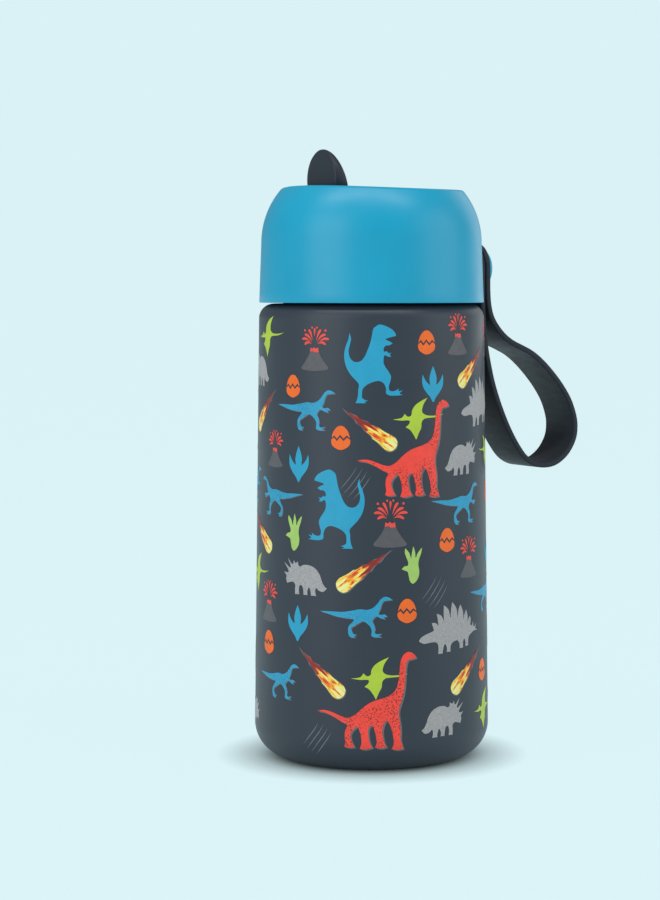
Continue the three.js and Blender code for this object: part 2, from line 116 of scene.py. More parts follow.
class Look:
    """A node material with object-space noise for its colour, roughness and bump."""

    def __init__(self, name, **sockets):
        self.material = bpy.data.materials.new(name)
        self.material.use_nodes = True
        self.nodes = self.material.node_tree.nodes
        self.links = self.material.node_tree.links
        self.shader = self.nodes["Principled BSDF"]
        for socket, value in sockets.items():
            self.shader.inputs[socket.replace("_", " ")].default_value = value
        self.place = self.nodes.new("ShaderNodeTexCoord").outputs["Object"]

    def link(self, source, target):
        self.links.new(source, target)

    def node(self, kind, **inputs):
        """A new node with some of its input sockets set to values."""
        made = self.nodes.new("ShaderNode" + kind)
        for socket, value in inputs.items():
            made.inputs[socket.replace("_", " ")].default_value = value
        return made

    def noise(self, scale, detail=4.0, roughness=0.55, distortion=0.0, place=None):
        sockets = {"Scale": scale, "Detail": detail, "Roughness": roughness}
        made = self.node("TexNoise", Distortion=distortion, **sockets)
        self.link(place or self.place, made.inputs["Vector"])
        return made.outputs["Fac"]

    def cells(self, scale):
        made = self.node("TexVoronoi", Scale=scale)
        self.link(self.place, made.inputs["Vector"])
        return made.outputs["Distance"]

    def stretched(self, x, y, z, source=None):
        made = self.node("Mapping", Scale=(x, y, z))
        self.link(source or self.place, made.inputs["Vector"])
        return made.outputs["Vector"]

    def ramp(self, factor, stops):
        made = self.node("ValToRGB")
        elements = made.color_ramp.elements
        while len(elements) < len(stops):
            elements.new(0.5)
        for element, (position, colour) in zip(elements, stops):
            element.position = position
            element.color = colour
        self.link(factor, made.inputs["Fac"])
        return made.outputs["Color"]

    def drift(self, factor, base, low, high, stops=(0.3, 0.7)):
        """A base colour that drifts between two tints of itself."""
        tints = (tinted(base, low), tinted(base, high))
        return self.ramp(factor, list(zip(stops, tints)))

    def spread(self, factor, low, high, from_low=0.3, from_high=0.7):
        made = self.node("MapRange", From_Min=from_low, From_Max=from_high, To_Min=low, To_Max=high)
        self.link(factor, made.inputs["Value"])
        return made.outputs["Result"]

    def math(self, operation, *operands):
        """A Math node. Each operand is a number or another node's output."""
        made = self.node("Math")
        made.operation = operation
        for socket, operand in zip(made.inputs, operands):
            if isinstance(operand, float):
                socket.default_value = operand
            else:
                self.link(operand, socket)
        return made.outputs[0]

    def mixed(self, factor, first, second):
        """A mix from a linked colour to a fixed one."""
        made = self.node("Mix")
        made.data_type = "RGBA"
        self.link(factor, made.inputs["Factor"])
        self.link(first, made.inputs[6])
        made.inputs[7].default_value = second
        return made.outputs[2]

    def colour(self, source):
        self.link(source, self.shader.inputs["Base Color"])

    def rough(self, source):
        self.link(source, self.shader.inputs["Roughness"])

    def bumps(self, layers):
        """Bump layers, each (height source, strength, distance in mm), chained coarse to fine."""
        normal = None
        for height, strength, distance in layers:
            made = self.node("Bump", Strength=strength, Distance=distance * MM)
            self.link(height, made.inputs["Height"])
            if normal is not None:
                self.link(normal, made.inputs["Normal"])
            normal = made.outputs["Normal"]
        self.link(normal, self.shader.inputs["Normal"])


def powder_coat():
    """Matt charcoal powder coat: a fine orange peel and a very slight drift of tone."""
    base = srgb(50, 57, 67)
    look = Look("powder_coat", Specular_IOR_Level=0.32)
    grain = look.noise(2600, 2)
    tone = look.drift(look.noise(22, 3), base, 0.93, 1.07)
    speck = look.spread(grain, 0.0, 0.16, 0.45, 0.75)
    look.colour(look.mixed(speck, tone, tinted(base, 1.6)))
    look.rough(look.spread(look.noise(60, 3), 0.38, 0.45))
    look.bumps([(look.noise(900, 2), 0.16, 0.03), (grain, 0.1, 0.015)])
    return look.material


def moulded_plastic(name, base, roughness, drift_amount, specular):
    """Injection-moulded polypropylene: satin, with a faint spark-eroded texture and tone drift."""
    look = Look(name, Specular_IOR_Level=specular)
    look.colour(look.drift(look.noise(35, 3), base, 1 - drift_amount, 1 + drift_amount))
    look.rough(look.spread(look.noise(140, 4), roughness - 0.035, roughness + 0.035))
    look.bumps([(look.noise(420, 3), 0.1, 0.03), (look.noise(3200, 2), 0.07, 0.012)])
    return look.material


def soft_silicone(name, base, roughness=0.55, clear=0.0):
    """Silicone rubber: matt with a dusty sheen, fine pores and light handling marks."""
    look = Look(
        name,
        Specular_IOR_Level=0.24,
        Sheen_Weight=0.03,
        Sheen_Roughness=0.5,
        Transmission_Weight=clear,
        IOR=1.41,
    )
    dust = look.noise(60, 4, 0.6, 0.6)
    look.colour(look.drift(dust, base, 0.9, 1.12, (0.3, 0.72)))
    marks = look.noise(1.0, 3, 0.6, 0.0, look.stretched(160, 160, 900))
    look.rough(look.spread(marks, roughness - 0.06, roughness + 0.06))
    look.bumps([(look.noise(1500, 3), 0.16, 0.02), (marks, 0.06, 0.02)])
    return look.material


def brushed_steel(name, base):
    """Satin stainless steel, with fine lines round it from the lathe."""
    look = Look(name, Metallic=1.0, Anisotropic=0.35)
    lines = look.noise(1.0, 4, 0.6, 0.0, look.stretched(60, 60, 5200))
    look.colour(look.drift(lines, base, 0.88, 1.06))
    look.rough(look.spread(lines, 0.24, 0.38))
    look.bumps([(lines, 0.12, 0.01)])
    return look.material


def spun_steel(name, base):
    """Steel spun flat: circular tool lines about the bottle's axis."""
    look = Look(name, Metallic=1.0)
    rings = look.node("TexWave", Scale=620, Distortion=1.2, Detail=3)
    rings.wave_type = "RINGS"
    rings.rings_direction = "Z"
    look.link(look.place, rings.inputs["Vector"])
    lines = rings.outputs["Fac"]
    look.colour(look.drift(lines, base, 0.9, 1.05, (0.2, 0.8)))
    look.rough(look.spread(look.noise(90, 4), 0.26, 0.4))
    look.bumps([(lines, 0.15, 0.01)])
    return look.material


def clear_plastic():
    """The straw's clear plastic, with faint lines drawn along it."""
    look = Look("straw_clear", Transmission_Weight=0.85, IOR=1.46, Specular_IOR_Level=0.5)
    haze = look.noise(1.0, 3, 0.5, 0.0, look.stretched(900, 900, 40))
    base = srgb(226, 236, 238)
    look.colour(look.drift(haze, base, 0.94, 1.0))
    look.rough(look.spread(haze, 0.12, 0.24))
    look.bumps([(haze, 0.06, 0.02)])
    return look.material


def dull_ceramic():
    """The getter's pressed powder tablet."""
    look = Look("dull_ceramic", Specular_IOR_Level=0.3)
    grit = look.noise(1400, 4, 0.7)
    base = srgb(92, 94, 98)
    look.colour(look.drift(grit, base, 0.7, 1.25))
    look.rough(look.spread(grit, 0.6, 0.85))
    look.bumps([(grit, 0.3, 0.03)])
    return look.material


def ink(name, base, mottle=0.05, mottle_scale=300, specks=0.0, speck_colour=None):
    """Screen-printed ink over the powder coat, with the coat's grain and an uneven lay-down."""
    look = Look(name, Specular_IOR_Level=0.3)
    uneven = look.noise(mottle_scale, 4, 0.65)
    tone = look.drift(uneven, base, 1 - mottle, 1 + mottle, (0.34, 0.66))
    if specks:
        cluster = look.spread(look.noise(130, 3), 0.0, 1.0, 0.42, 0.6)
        dots = look.spread(look.cells(1600), 1.0, 0.0, 0.33, 0.45)
        clustered = look.math("MULTIPLY", cluster, dots)
        tone = look.mixed(look.spread(clustered, 0, specks, 0, 1), tone, speck_colour)
    look.colour(tone)
    look.rough(look.spread(look.noise(200, 3), 0.42, 0.52))
    look.bumps([(look.noise(900, 2), 0.16, 0.03), (look.noise(2600, 2), 0.08, 0.015)])
    return look.material


def flame_ink():
    """A meteor's print: pale head, then yellow, orange and red tongues down the tail.

    U runs from the head to the tail's tip, V across the tail.
    """
    look = Look("print_flame", Specular_IOR_Level=0.4)
    uv = look.node("UVMap").outputs["UV"]
    tongues = look.noise(1.0, 2, 0.55, 0.9, look.stretched(6.0, 30.0, 1.0, uv))
    along = look.node("SeparateXYZ")
    look.link(uv, along.inputs[0])
    heat = look.math("MULTIPLY_ADD", tongues, 1.3, along.outputs["X"])
    stops = [
        (0.42, srgb(238, 236, 178)),
        (0.66, srgb(240, 228, 118)),
        (0.76, srgb(250, 196, 56)),
        (0.85, srgb(242, 124, 36)),
        (0.94, srgb(216, 54, 36)),
        (1.0, srgb(140, 40, 34)),
    ]
    look.colour(look.ramp(heat, stops))
    look.rough(look.spread(look.noise(200, 3), 0.42, 0.52))
    look.bumps([(look.noise(900, 2), 0.16, 0.03)])
    return look.material


BLUE = srgb(20, 152, 187)
CHARCOAL = srgb(40, 46, 55)
STEEL = (0.62, 0.63, 0.64, 1.0)

LOOKS = {
    "painted_shell": powder_coat(),
    "blue_plastic": moulded_plastic("lid_blue", BLUE, 0.37, 0.03, 0.36),
    "charcoal_plastic": moulded_plastic("charcoal_plastic", CHARCOAL, 0.46, 0.06, 0.26),
    "charcoal_silicone": soft_silicone("charcoal_silicone", srgb(42, 47, 55)),
    "clear_silicone": soft_silicone("clear_silicone", srgb(226, 230, 230), 0.5, 0.25),
    "steel": brushed_steel("drawn_steel", STEEL),
    "clear_plastic": clear_plastic(),
    "ceramic_dark": dull_ceramic(),
}
SPUN = spun_steel("spun_steel", STEEL)


# ------------------------------------------------------------------ mesh building

CREASE = math.radians(40)

class Sheet:
    """Vertices in millimetres and faces, gathered into one mesh object."""

    def __init__(self):
        self.vertices = []
        self.faces = []

    def loops(self, rings, closed=False, caps=(False, False)):
        """Skins a list of rings, all with the same count of points. Caps fill the end rings."""
        start = len(self.vertices)
        count = len(rings[0])
        for ring in rings:
            self.vertices.extend(ring)
        spans = len(rings) if closed else len(rings) - 1
        for i in range(spans):
            a = start + i * count
            b = start + ((i + 1) % len(rings)) * count
            for k in range(count):
                n = (k + 1) % count
                self.faces.append((a + k, a + n, b + n, b + k))
        if caps[0]:
            self.faces.append(tuple(start + k for k in reversed(range(count))))
        if caps[1]:
            last = start + (len(rings) - 1) * count
            self.faces.append(tuple(last + k for k in range(count)))

    def build(self, name, body, slot, node, material=None):
        """Makes the object, in place of a CAD node. Edges sharper than CREASE stay hard."""
        mesh = bpy.data.meshes.new(name)
        scaled = [tuple(c * MM for c in v) for v in self.vertices]
        mesh.from_pydata(scaled, [], self.faces)
        work = bmesh.new()
        work.from_mesh(mesh)
        bmesh.ops.remove_doubles(work, verts=work.verts, dist=1e-7)
        bmesh.ops.dissolve_degenerate(work, edges=work.edges, dist=1e-8)
        bmesh.ops.recalc_face_normals(work, faces=work.faces)
        for face in work.faces:
            face.smooth = True
        for edge in work.edges:
            if len(edge.link_faces) == 2 and edge.calc_face_angle(0) > CREASE:
                edge.smooth = False
        work.to_mesh(mesh)
        work.free()
        mesh.materials.append(material or LOOKS[slot])
        piece = bpy.data.objects.new(name, mesh)
        bpy.context.scene.collection.objects.link(piece)
        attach(piece, body)
        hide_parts(node)


def filleted(corners, steps=5):
    """A closed profile from (r, z, fillet radius) corners, each corner rounded by a curve."""
    points = []
    count = len(corners)
    for i, (r, z, fillet) in enumerate(corners):
        here = Vector((r, z))
        before = Vector(corners[i - 1][:2]) - here
        after = Vector(corners[(i + 1) % count][:2]) - here
        if fillet <= 0:
            points.append((r, z))
            continue
        first = here + before.normalized() * min(fillet, before.length * 0.49)
        last = here + after.normalized() * min(fillet, after.length * 0.49)
        for k in range(steps + 1):
            t = k / steps
            p = first * (1 - t) ** 2 + here * 2 * t * (1 - t) + last * t * t
            points.append((p.x, p.y))
    return points


def arc(centre_r, centre_z, radius, start, end, steps):
    """Profile points along a circular arc, angles in degrees."""
    points = []
    for i in range(steps + 1):
        a = math.radians(start + (end - start) * i / steps)
        points.append((centre_r + radius * math.cos(a), centre_z + radius * math.sin(a)))
    return points


def turn(sheet, profile, around=AROUND, axis="Z", at=(0, 0, 0), closed=True):
    """Turns a profile of (radius, height) about an axis through a point."""
    rings = []
    for r, h in profile:
        ring = []
        for k in range(around):
            a = 2 * math.pi * k / around
            c, s = max(r, 0.0) * math.cos(a), max(r, 0.0) * math.sin(a)
            local = {"Z": (c, s, h), "X": (h, c, s), "Y": (s, h, c)}[axis]
            ring.append(tuple(p + q for p, q in zip(local, at)))
        rings.append(ring)
    sheet.loops(rings, closed=closed)


def sweep(sheet, points, section):
    """Carries a section, a function of the step that gives (across, up) pairs, along points.

    Across is level and square to the path, and up is square to both.
    """
    rings = []
    for i, p in enumerate(points):
        here = Vector(p)
        ahead = Vector(points[min(i + 1, len(points) - 1)]) - Vector(points[max(i - 1, 0)])
        ahead.normalize()
        side = ahead.cross(Vector((0, 0, 1))).normalized()
        up = side.cross(ahead)
        rings.append([tuple(here + side * u + up * v) for u, v in section(i)])
    sheet.loops(rings, caps=(True, True))


def screw_ridge(sheet, radius, start_z):
    """The rounded ridge of a screw thread, tapered away at both ends."""
    steps = int(72 * THREAD_TURNS)
    points = []
    for i in range(steps + 1):
        turned = THREAD_TURNS * i / steps
        a = 2 * math.pi * turned
        z = start_z + THREAD_PITCH * turned
        points.append((radius * math.cos(a), radius * math.sin(a), z))

    def section(i):
        t = i / steps
        fade = min(1.0, t * 14, (1 - t) * 14)
        size = THREAD_HEIGHT * (0.15 + 0.85 * math.sin(fade * math.pi / 2))
        angles = [2 * math.pi * k / 12 for k in range(12)]
        return [(size * math.cos(a), size * math.sin(a)) for a in angles]

    sweep(sheet, points, section)


# ------------------------------------------------------------------ the flask


def outer_shell():
    """The painted wall: rolled-in foot, rounded foot and shoulder, and the threaded neck."""
    lip = 23.5  # radius of the hole in the foot that the base cup closes
    foot_centre = FOOT_R - FOOT_FILLET
    top_centre = TOP_R - TOP_FILLET
    top = TOP_Z + TOP_FILLET
    neck_inside = NECK_R - WALL
    profile = [(lip, 0.12), (lip + 0.12, 0.0)]
    profile += arc(foot_centre, FOOT_FILLET, FOOT_FILLET, -90, 0, 26)
    profile += [(body_radius(z), z) for z in range(16, 136, 8)]
    profile += arc(top_centre, TOP_Z, TOP_FILLET, 0, 90, 14)
    neck = [(29.8, top, 0), (27.55, top, 1.4), (NECK_R, NECK_TOP, 0.2), (neck_inside, NECK_TOP, 0.2)]
    profile += filleted(neck)[:-1]
    profile += [(neck_inside, 144.0), (28.1, top - WALL)]
    profile += arc(top_centre, TOP_Z, TOP_FILLET - WALL, 90, 0, 8)
    profile += arc(foot_centre, FOOT_FILLET, FOOT_FILLET - WALL, 0, -90, 14)
    profile += [(lip + 0.12, WALL), (lip, WALL - 0.12)]
    sheet = Sheet()
    turn(sheet, profile)
    screw_ridge(sheet, NECK_R - 0.05, 149.0)
    sheet.build("shell_painted", "flask", "painted_shell", "outer_shell")


def base_pieces():
    """The pressed cup in the foot and the disc that hides its recess, with a stamped ring."""
    cup = Sheet()
    turn(cup, filleted([
        (1.2, 2.4, 0.1), (20.4, 2.4, 0.5), (20.4, 0.0, 0.25), (23.2, 0.0, 0.25),
        (23.2, 0.5, 0.2), (20.9, 0.5, 0.2), (20.9, 2.9, 0.7), (1.2, 2.9, 0.1),
    ]), 128)
    cup.build("base_cup", "flask", "steel", "outer_base", SPUN)
    cover = Sheet()
    turn(cover, filleted([
        (0.0, 0.0, 0), (9.0, 0.0, 0.3), (9.6, 0.18, 0.3), (13.6, 0.18, 0.3), (14.2, 0.0, 0.3),
        (20.0, 0.0, 0.3), (20.0, 1.6, 0.2), (19.5, 1.6, 0.2), (19.5, 0.5, 0.3), (0.0, 0.5, 0),
    ]), 128, closed=False)
    cover.build("base_disc", "flask", "steel", "base_cover", SPUN)


def liner():
    """The steel inside wall, from its round foot up to the rolled mouth rim."""
    rim = 157.3
    foot_r, foot_z, foot_bend = 22.25, 15.0, 9.0
    shoulder_r, shoulder_z, shoulder_bend = 26.15, 134.5, 4.0
    profile = [(22.0, 6.1), (22.1, 6.0)]
    profile += arc(foot_r, foot_z, foot_bend, -90, 0, 10)
    profile += arc(shoulder_r, shoulder_z, shoulder_bend, 0, 75, 7)
    profile += [(26.6, 139.5), (26.6, rim - 0.2), (26.75, rim)]
    profile += [(27.0, rim)] + arc(27.0, rim + 0.4, 0.4, -90, 90, 8)
    profile += [(26.6, rim + 0.76), (26.25, rim + 0.6), (26.1, rim + 0.3), (26.1, 139.4)]
    profile += arc(shoulder_r, shoulder_z, shoulder_bend - WALL, 70, 0, 6)
    profile += arc(foot_r, foot_z, foot_bend - WALL, 0, -90, 10)
    profile += [(22.1, 6.5), (22.0, 6.4)]
    sheet = Sheet()
    turn(sheet, profile, 160)
    sheet.build("liner_steel", "flask", "steel", "inner_liner")


# ------------------------------------------------------------------ the lid

CROWN_Z = 179.2
CROWN_R = 467.0
CROWN_TILT = 0.0115
LID_WALL = 2.0
SKIRT_LOW = 143.0
SKIRT_HIGH = 162.0
SKIRT_R = 35.7  # at its lower edge
DOME_FOOT_R = 35.05  # where the skirt passes into the dome
DOME_BEND = 26.2
LID_CEILING = 176.8
SLOT_FRONT = -23.7
SLOT_BACK = 12.4
SLOT_MIDDLE = (SLOT_FRONT + SLOT_BACK) / 2
SLOT_HALF = 10.2
SLOT_CORNER = 3.0


def crown_height(x, y):
    """Height of the surface that cuts the dome off: crowned across and falling to the back."""
    return CROWN_Z - CROWN_TILT * x - y * y / (2 * CROWN_R)


def dome_point(t, inset=0.0):
    """(radius, height) on the dome's arc at t degrees above the tangent with the skirt."""
    bend = DOME_BEND - inset
    a = math.radians(t)
    return DOME_FOOT_R - DOME_BEND + bend * math.cos(a), SKIRT_HIGH + bend * math.sin(a)


def rim_angle(bearing):
    """Where along the dome's arc the crown cuts it, by bisection."""
    low, high = 20.0, 60.0
    for _ in range(40):
        middle = (low + high) / 2
        r, z = dome_point(middle)
        if z < crown_height(r * math.cos(bearing), r * math.sin(bearing)):
            low = middle
        else:
            high = middle
    return low


def rounded_point(a, half_u, half_v, corner):
    """The point of a rounded rectangle's outline in the direction a, in radians."""
    c, s = math.cos(a), math.sin(a)
    reach = min(half_u / max(abs(c), 1e-9), half_v / max(abs(s), 1e-9))
    u, v = reach * c, reach * s
    core_u, core_v = half_u - corner, half_v - corner
    if abs(u) > core_u and abs(v) > core_v:
        cu, cv = math.copysign(core_u, u), math.copysign(core_v, v)
        dot = c * cu + s * cv
        reach = dot + math.sqrt(max(dot * dot - cu * cu - cv * cv + corner * corner, 0.0))
        u, v = reach * c, reach * s
    return u, v


def slot_point(k, around, grow=0.0):
    """A point of the slot's outline, grown by some millimetres."""
    half_x = (SLOT_BACK - SLOT_FRONT) / 2 + grow
    a = 2 * math.pi * k / around
    x, y = rounded_point(a, half_x, SLOT_HALF + grow, SLOT_CORNER + grow)
    return SLOT_MIDDLE + x, y


def slot_ring(around, grow, z):
    """The slot's outline at one height."""
    return [(*slot_point(k, around, grow), z) for k in range(around)]


def blend_rings(first, corner, last, steps):
    """Rings along a quadratic curve from one ring to another, pulled towards a corner ring."""
    rings = []
    for i in range(steps + 1):
        t = i / steps
        weights = ((1 - t) ** 2, 2 * t * (1 - t), t * t)
        ring = []
        for points in zip(first, corner, last):
            ring.append(tuple(sum(w * c for w, c in zip(weights, axis)) for axis in zip(*points)))
        rings.append(ring)
    return rings


def lid_cover():
    """The blue cover: skirt, dome, crowned top with the spout's slot, and the inside wall."""
    bearings = [2 * math.pi * k / AROUND for k in range(AROUND)]
    rims = [rim_angle(b) for b in bearings]

    def level(r, z):
        return [(r * math.cos(b), r * math.sin(b), z) for b in bearings]

    def dome(fraction, back=0.0):
        ring = []
        for b, rim in zip(bearings, rims):
            r, z = dome_point(rim * fraction - back)
            ring.append((r * math.cos(b), r * math.sin(b), z))
        return ring

    def on_crown(points, depth=0.0):
        return [(x, y, crown_height(x, y) - depth) for x, y in points]

    def top(inward):
        """The crown's edge moved inward by some millimetres."""
        reaches = [dome_point(rim)[0] - inward for rim in rims]
        return on_crown([(r * math.cos(b), r * math.sin(b)) for b, r in zip(bearings, reaches)])

    def slot(grow, depth=0.0):
        return on_crown([slot_point(k, AROUND, gap + grow) for k in range(AROUND)], depth)

    gap = 0.2  # between the slot's edge and the well below it
    edge = 1.0  # how far the crown's edge is rounded
    skirt = [(33.7, 0.25), (33.75, 0.05), (33.95, 0.0), (35.45, 0.0), (35.64, 0.06), (SKIRT_R, 0.25)]
    rings = [level(r, SKIRT_LOW + up) for r, up in skirt]
    taper = (SKIRT_R - DOME_FOOT_R) / (SKIRT_HIGH - SKIRT_LOW)
    rings += [level(SKIRT_R - taper * (z - SKIRT_LOW), z) for z in (146, 150, 154, 158)]
    rings += [dome(i / 16) for i in range(16)]
    rings += blend_rings(dome(1.0, back=edge * 1.6), top(0.0), top(edge * 0.8), 5)
    outer, inner = top(edge * 0.8), slot(0.5)
    for i in range(1, 9):
        t = i / 9
        rings.append(on_crown([
            (a[0] + (b[0] - a[0]) * t, a[1] + (b[1] - a[1]) * t) for a, b in zip(outer, inner)
        ]))
    rings += blend_rings(slot(0.5), slot(0.0), slot(0.0, 0.5), 4)
    for grow, above in ((0.0, 0.5), (0.05, 0.1), (0.3, 0.0)):
        rings.append(slot_ring(AROUND, gap + grow, LID_CEILING + above))
    rings.append(level(27.4, LID_CEILING))
    ceiling = math.degrees(math.asin((LID_CEILING - SKIRT_HIGH) / (DOME_BEND - LID_WALL)))
    rings += [level(*dome_point(ceiling * (1 - i / 8), LID_WALL)) for i in range(9)]
    sheet = Sheet()
    sheet.loops(rings, closed=True)
    seat = filleted([(3.0, 34.3, 0), (3.0, 35.7, 0.1), (7.8, 35.7, 0.45), (7.8, 33.9, 0)])
    turn(sheet, seat, 64, "X", (0, 0, STUD_Z))
    sheet.build("lid_dome", "lid", "blue_plastic", "lid_cover")


def lid_insert():
    """The insert: deck over the mouth, threaded wall round the neck, and the spout's well."""
    deck, deck_top = 160.5, 162.3
    sheet = Sheet()
    turn(sheet, filleted([
        (5.1, deck, 0.1), (24.4, deck, 0.3), (24.4, 157.0, 0.3), (25.3, 157.0, 0.3),
        (25.3, deck, 0.3), (29.6, deck, 0.3), (29.6, 144.0, 0.4), (33.3, 144.0, 0.3),
        (33.3, 145.5, 0.3), (31.4, 145.5, 0.5), (31.4, deck, 0.3), (32.6, deck, 0.2),
        (32.6, deck_top, 0.3), (15.4, deck_top, 0), (5.1, deck_top, 0.1),
    ], 3), 144)
    well = [
        (1.6, deck_top - 0.2), (1.6, 176.2), (1.5, 176.42), (1.3, 176.5), (0.3, 176.5),
        (0.1, 176.42), (0.0, 176.2), (0.0, deck_top + 0.8), (-0.25, deck_top + 0.22),
        (-0.8, deck_top + 0.02), (-0.8, deck_top - 0.3),
    ]
    sheet.loops([slot_ring(160, grow, z) for grow, z in well], closed=True)
    screw_ridge(sheet, 29.65, 146.5)
    sheet.build("lid_insert", "lid", "charcoal_plastic", "lid_inner_cap")


def lid_small_parts():
    """The gasket, the straw's nipple, the straw and the spout's two hinge pins."""
    below_spout = (PIVOT_X, 0, 0)
    gasket = Sheet()
    turn(gasket, filleted([
        (25.6, 158.4, 0.4), (26.5, 158.4, 0.15), (26.9, 158.65, 0.2), (27.3, 158.4, 0.15),
        (28.3, 158.4, 0.4), (28.3, 160.2, 0.4), (25.6, 160.2, 0.4),
    ]), 144)
    gasket.build("gasket_ring", "gasket", "clear_silicone", "lid_gasket")

    socket = Sheet()
    turn(socket, filleted([
        (1.6, 150.0, 0.1), (2.1, 150.0, 0.2), (2.3, 151.0, 0.2), (2.3, 159.4, 0.6),
        (7.0, 159.4, 0.3), (7.0, 160.2, 0.2), (1.6, 160.2, 0.1),
    ]), 72, at=below_spout)
    socket.build("straw_nipple", "lid", "charcoal_plastic", "straw_socket")

    tube = Sheet()
    low, high = STRAW_LOW[2], STRAW_HIGH[2]
    turn(tube, filleted([
        (2.6, low, 0.15), (3.3, low, 0.25), (3.3, high, 0.2), (2.6, high, 0.15),
    ]), 72, at=below_spout)
    tube.build("straw_tube", "lid", "clear_plastic", "straw")

    for side, name in ((-1, "left"), (1, "right")):
        pin = Sheet()
        ends = sorted((side * 5.0, side * 11.5))
        turn(pin, filleted([
            (0.0, ends[0], 0), (1.2, ends[0], 0.25), (1.2, ends[1], 0.25), (0.0, ends[1], 0),
        ]), 48, "Y", SPOUT_HINGE, closed=False)
        pin.build("steel_pin_" + name, "lid", "steel", "pivot_pin_" + name)


# ------------------------------------------------------------------ the spout


def rounded_section(half_u, half_v, corner, steps=5):
    """A rounded rectangle as (u, v) pairs, anticlockwise."""
    points = []
    for su, sv, start in ((1, 1, 0), (-1, 1, 90), (-1, -1, 180), (1, -1, 270)):
        for k in range(steps + 1):
            a = math.radians(start + 90 * k / steps)
            u = su * (half_u - corner) + corner * math.cos(a)
            v = sv * (half_v - corner) + corner * math.sin(a)
            points.append((u, v))
    return points


def spout():
    """The spout: a hinge barrel, an arm, the tip's collar and the thumb tab."""
    sheet = Sheet()
    barrel_half, bore_depth = 9.6, 4.8
    bore_end = barrel_half - bore_depth
    turn(sheet, filleted([
        (1.5, -barrel_half, 0.1), (5.2, -barrel_half, 0.7), (5.2, barrel_half, 0.7),
        (1.5, barrel_half, 0.1), (1.5, bore_end, 0), (0.0, bore_end, 0),
        (0.0, -bore_end, 0), (1.5, -bore_end, 0),
    ]), 96, "Y", SPOUT_HINGE)
    # The arm's sections: place along X, half width, half height and corner radius.
    stations = [
        (-18.6, 2.6, 3.0, 2.59), (-18.6, 4.9, 3.9, 1.8), (-18.3, 5.4, 4.4, 2.2),
        (-17.6, 5.5, 4.5, 2.3), (-8.0, 5.5, 4.5, 2.3), (0.0, 5.5, 4.5, 2.3), (4.0, 5.5, 4.4, 2.3),
    ]
    rings = []
    for x, half_u, half_v, corner in stations:
        section = rounded_section(half_u, half_v, corner)
        rings.append([(x, u, PIVOT_Z + v) for u, v in section])
    sheet.loops(rings, caps=(True, True))
    collar = [(1.9, -22.0, 0.2), (3.0, -22.0, 0.4), (3.0, -18.0, 0), (1.9, -18.0, 0)]
    turn(sheet, filleted(collar), 48, "X", (0, 0, PIVOT_Z))
    thumb_tab(sheet)
    sheet.build("spout_arm", "spout", "charcoal_plastic", "spout_body")


TAB_Z = 181.85
TAB_R = 9.35
TAB_FRONT = -18.5
TAB_LEAN = 0.322  # how fast the back face comes forward as it rises


def tab_outline(shrink, count=96):
    """The thumb tab's round face in (y, z)."""
    radius = TAB_R - shrink
    angles = [2 * math.pi * k / count for k in range(count)]
    return [(radius * math.cos(a), TAB_Z + radius * math.sin(a)) for a in angles]


def thumb_tab(sheet):
    """A wedge-shaped round plate on a stem: upright front face, back face leaning forward."""

    def front(shrink, back=0.0):
        return [(TAB_FRONT + back, y, z) for y, z in tab_outline(shrink)]

    def back(shrink, inset, least):
        ring = []
        for y, z in tab_outline(shrink):
            leaning = -14.0 - TAB_LEAN * (z - 181.0) if z > 176 else -12.4
            ring.append((max(leaning - inset, TAB_FRONT + least), y, z))
        return ring

    middle = TAB_R - 0.02
    rings = [front(middle)] + [front(TAB_R * k / 5) for k in (4, 3, 2, 1)]
    rings += [front(0.56), front(0.48, 0.02), front(0.06, 0.42), front(0.0, 0.5)]
    rings += [back(0.0, 0.36, 0.62), back(0.1, 0.12, 0.8), back(0.36, 0.0, 0.9)]
    rings += [back(TAB_R * k / 5, 0.0, 1.1) for k in (1, 2, 3, 4)] + [back(middle, 0.0, 1.1)]
    sheet.loops(rings, caps=(True, True))
    # The stem's sections: height, half width, and where its front and back stand.
    stations = [
        (167.5, 5.42, -18.3, -10.6), (172.4, 5.42, -18.3, -11.3), (174.5, 5.46, -18.3, -12.4),
        (177.0, 5.6, -18.3, -13.0), (180.0, 5.8, -18.2, -14.2),
    ]
    stem = []
    for z, half_u, near, far in stations:
        section = rounded_section(half_u, (far - near) / 2, 0.9)
        stem.append([((near + far) / 2 + v, u, z) for u, v in section])
    sheet.loops(stem, caps=(True, True))


def mouthpiece():
    """The soft sleeve on the spout's tip, with a rolled lip round the drinking hole."""
    half_wide, half_high, corner = 5.5, 4.5, 2.2
    angles = [2 * math.pi * k / 64 for k in range(64)]

    def circle(radius, x):
        return [(x, radius * math.cos(a), PIVOT_Z + radius * math.sin(a)) for a in angles]

    def lip(shrink, x):
        outline = [rounded_point(a, half_wide - shrink, half_high - shrink, corner) for a in angles]
        return [(x, u, PIVOT_Z + v) for u, v in outline]

    rings = [circle(3.3, -18.9), lip(0.3, -18.9), lip(0.08, -18.98), lip(0.0, -19.2)]
    rings += [lip(0.0, -21.4), lip(0.1, -21.95), lip(0.38, -22.4), lip(0.85, -22.7)]
    rings += [lip(1.5, -22.8), circle(2.7, -22.8), circle(2.3, -22.74), circle(2.0, -22.58)]
    rings += [circle(1.9, -22.35), circle(3.3, -22.3)]
    sheet = Sheet()
    sheet.loops(rings, closed=True)
    sheet.build("spout_lip", "spout", "charcoal_silicone", "mouthpiece")


# ------------------------------------------------------------------ the strap and its button

BAND_HALF = 8.3
BAND_THICK = 1.8

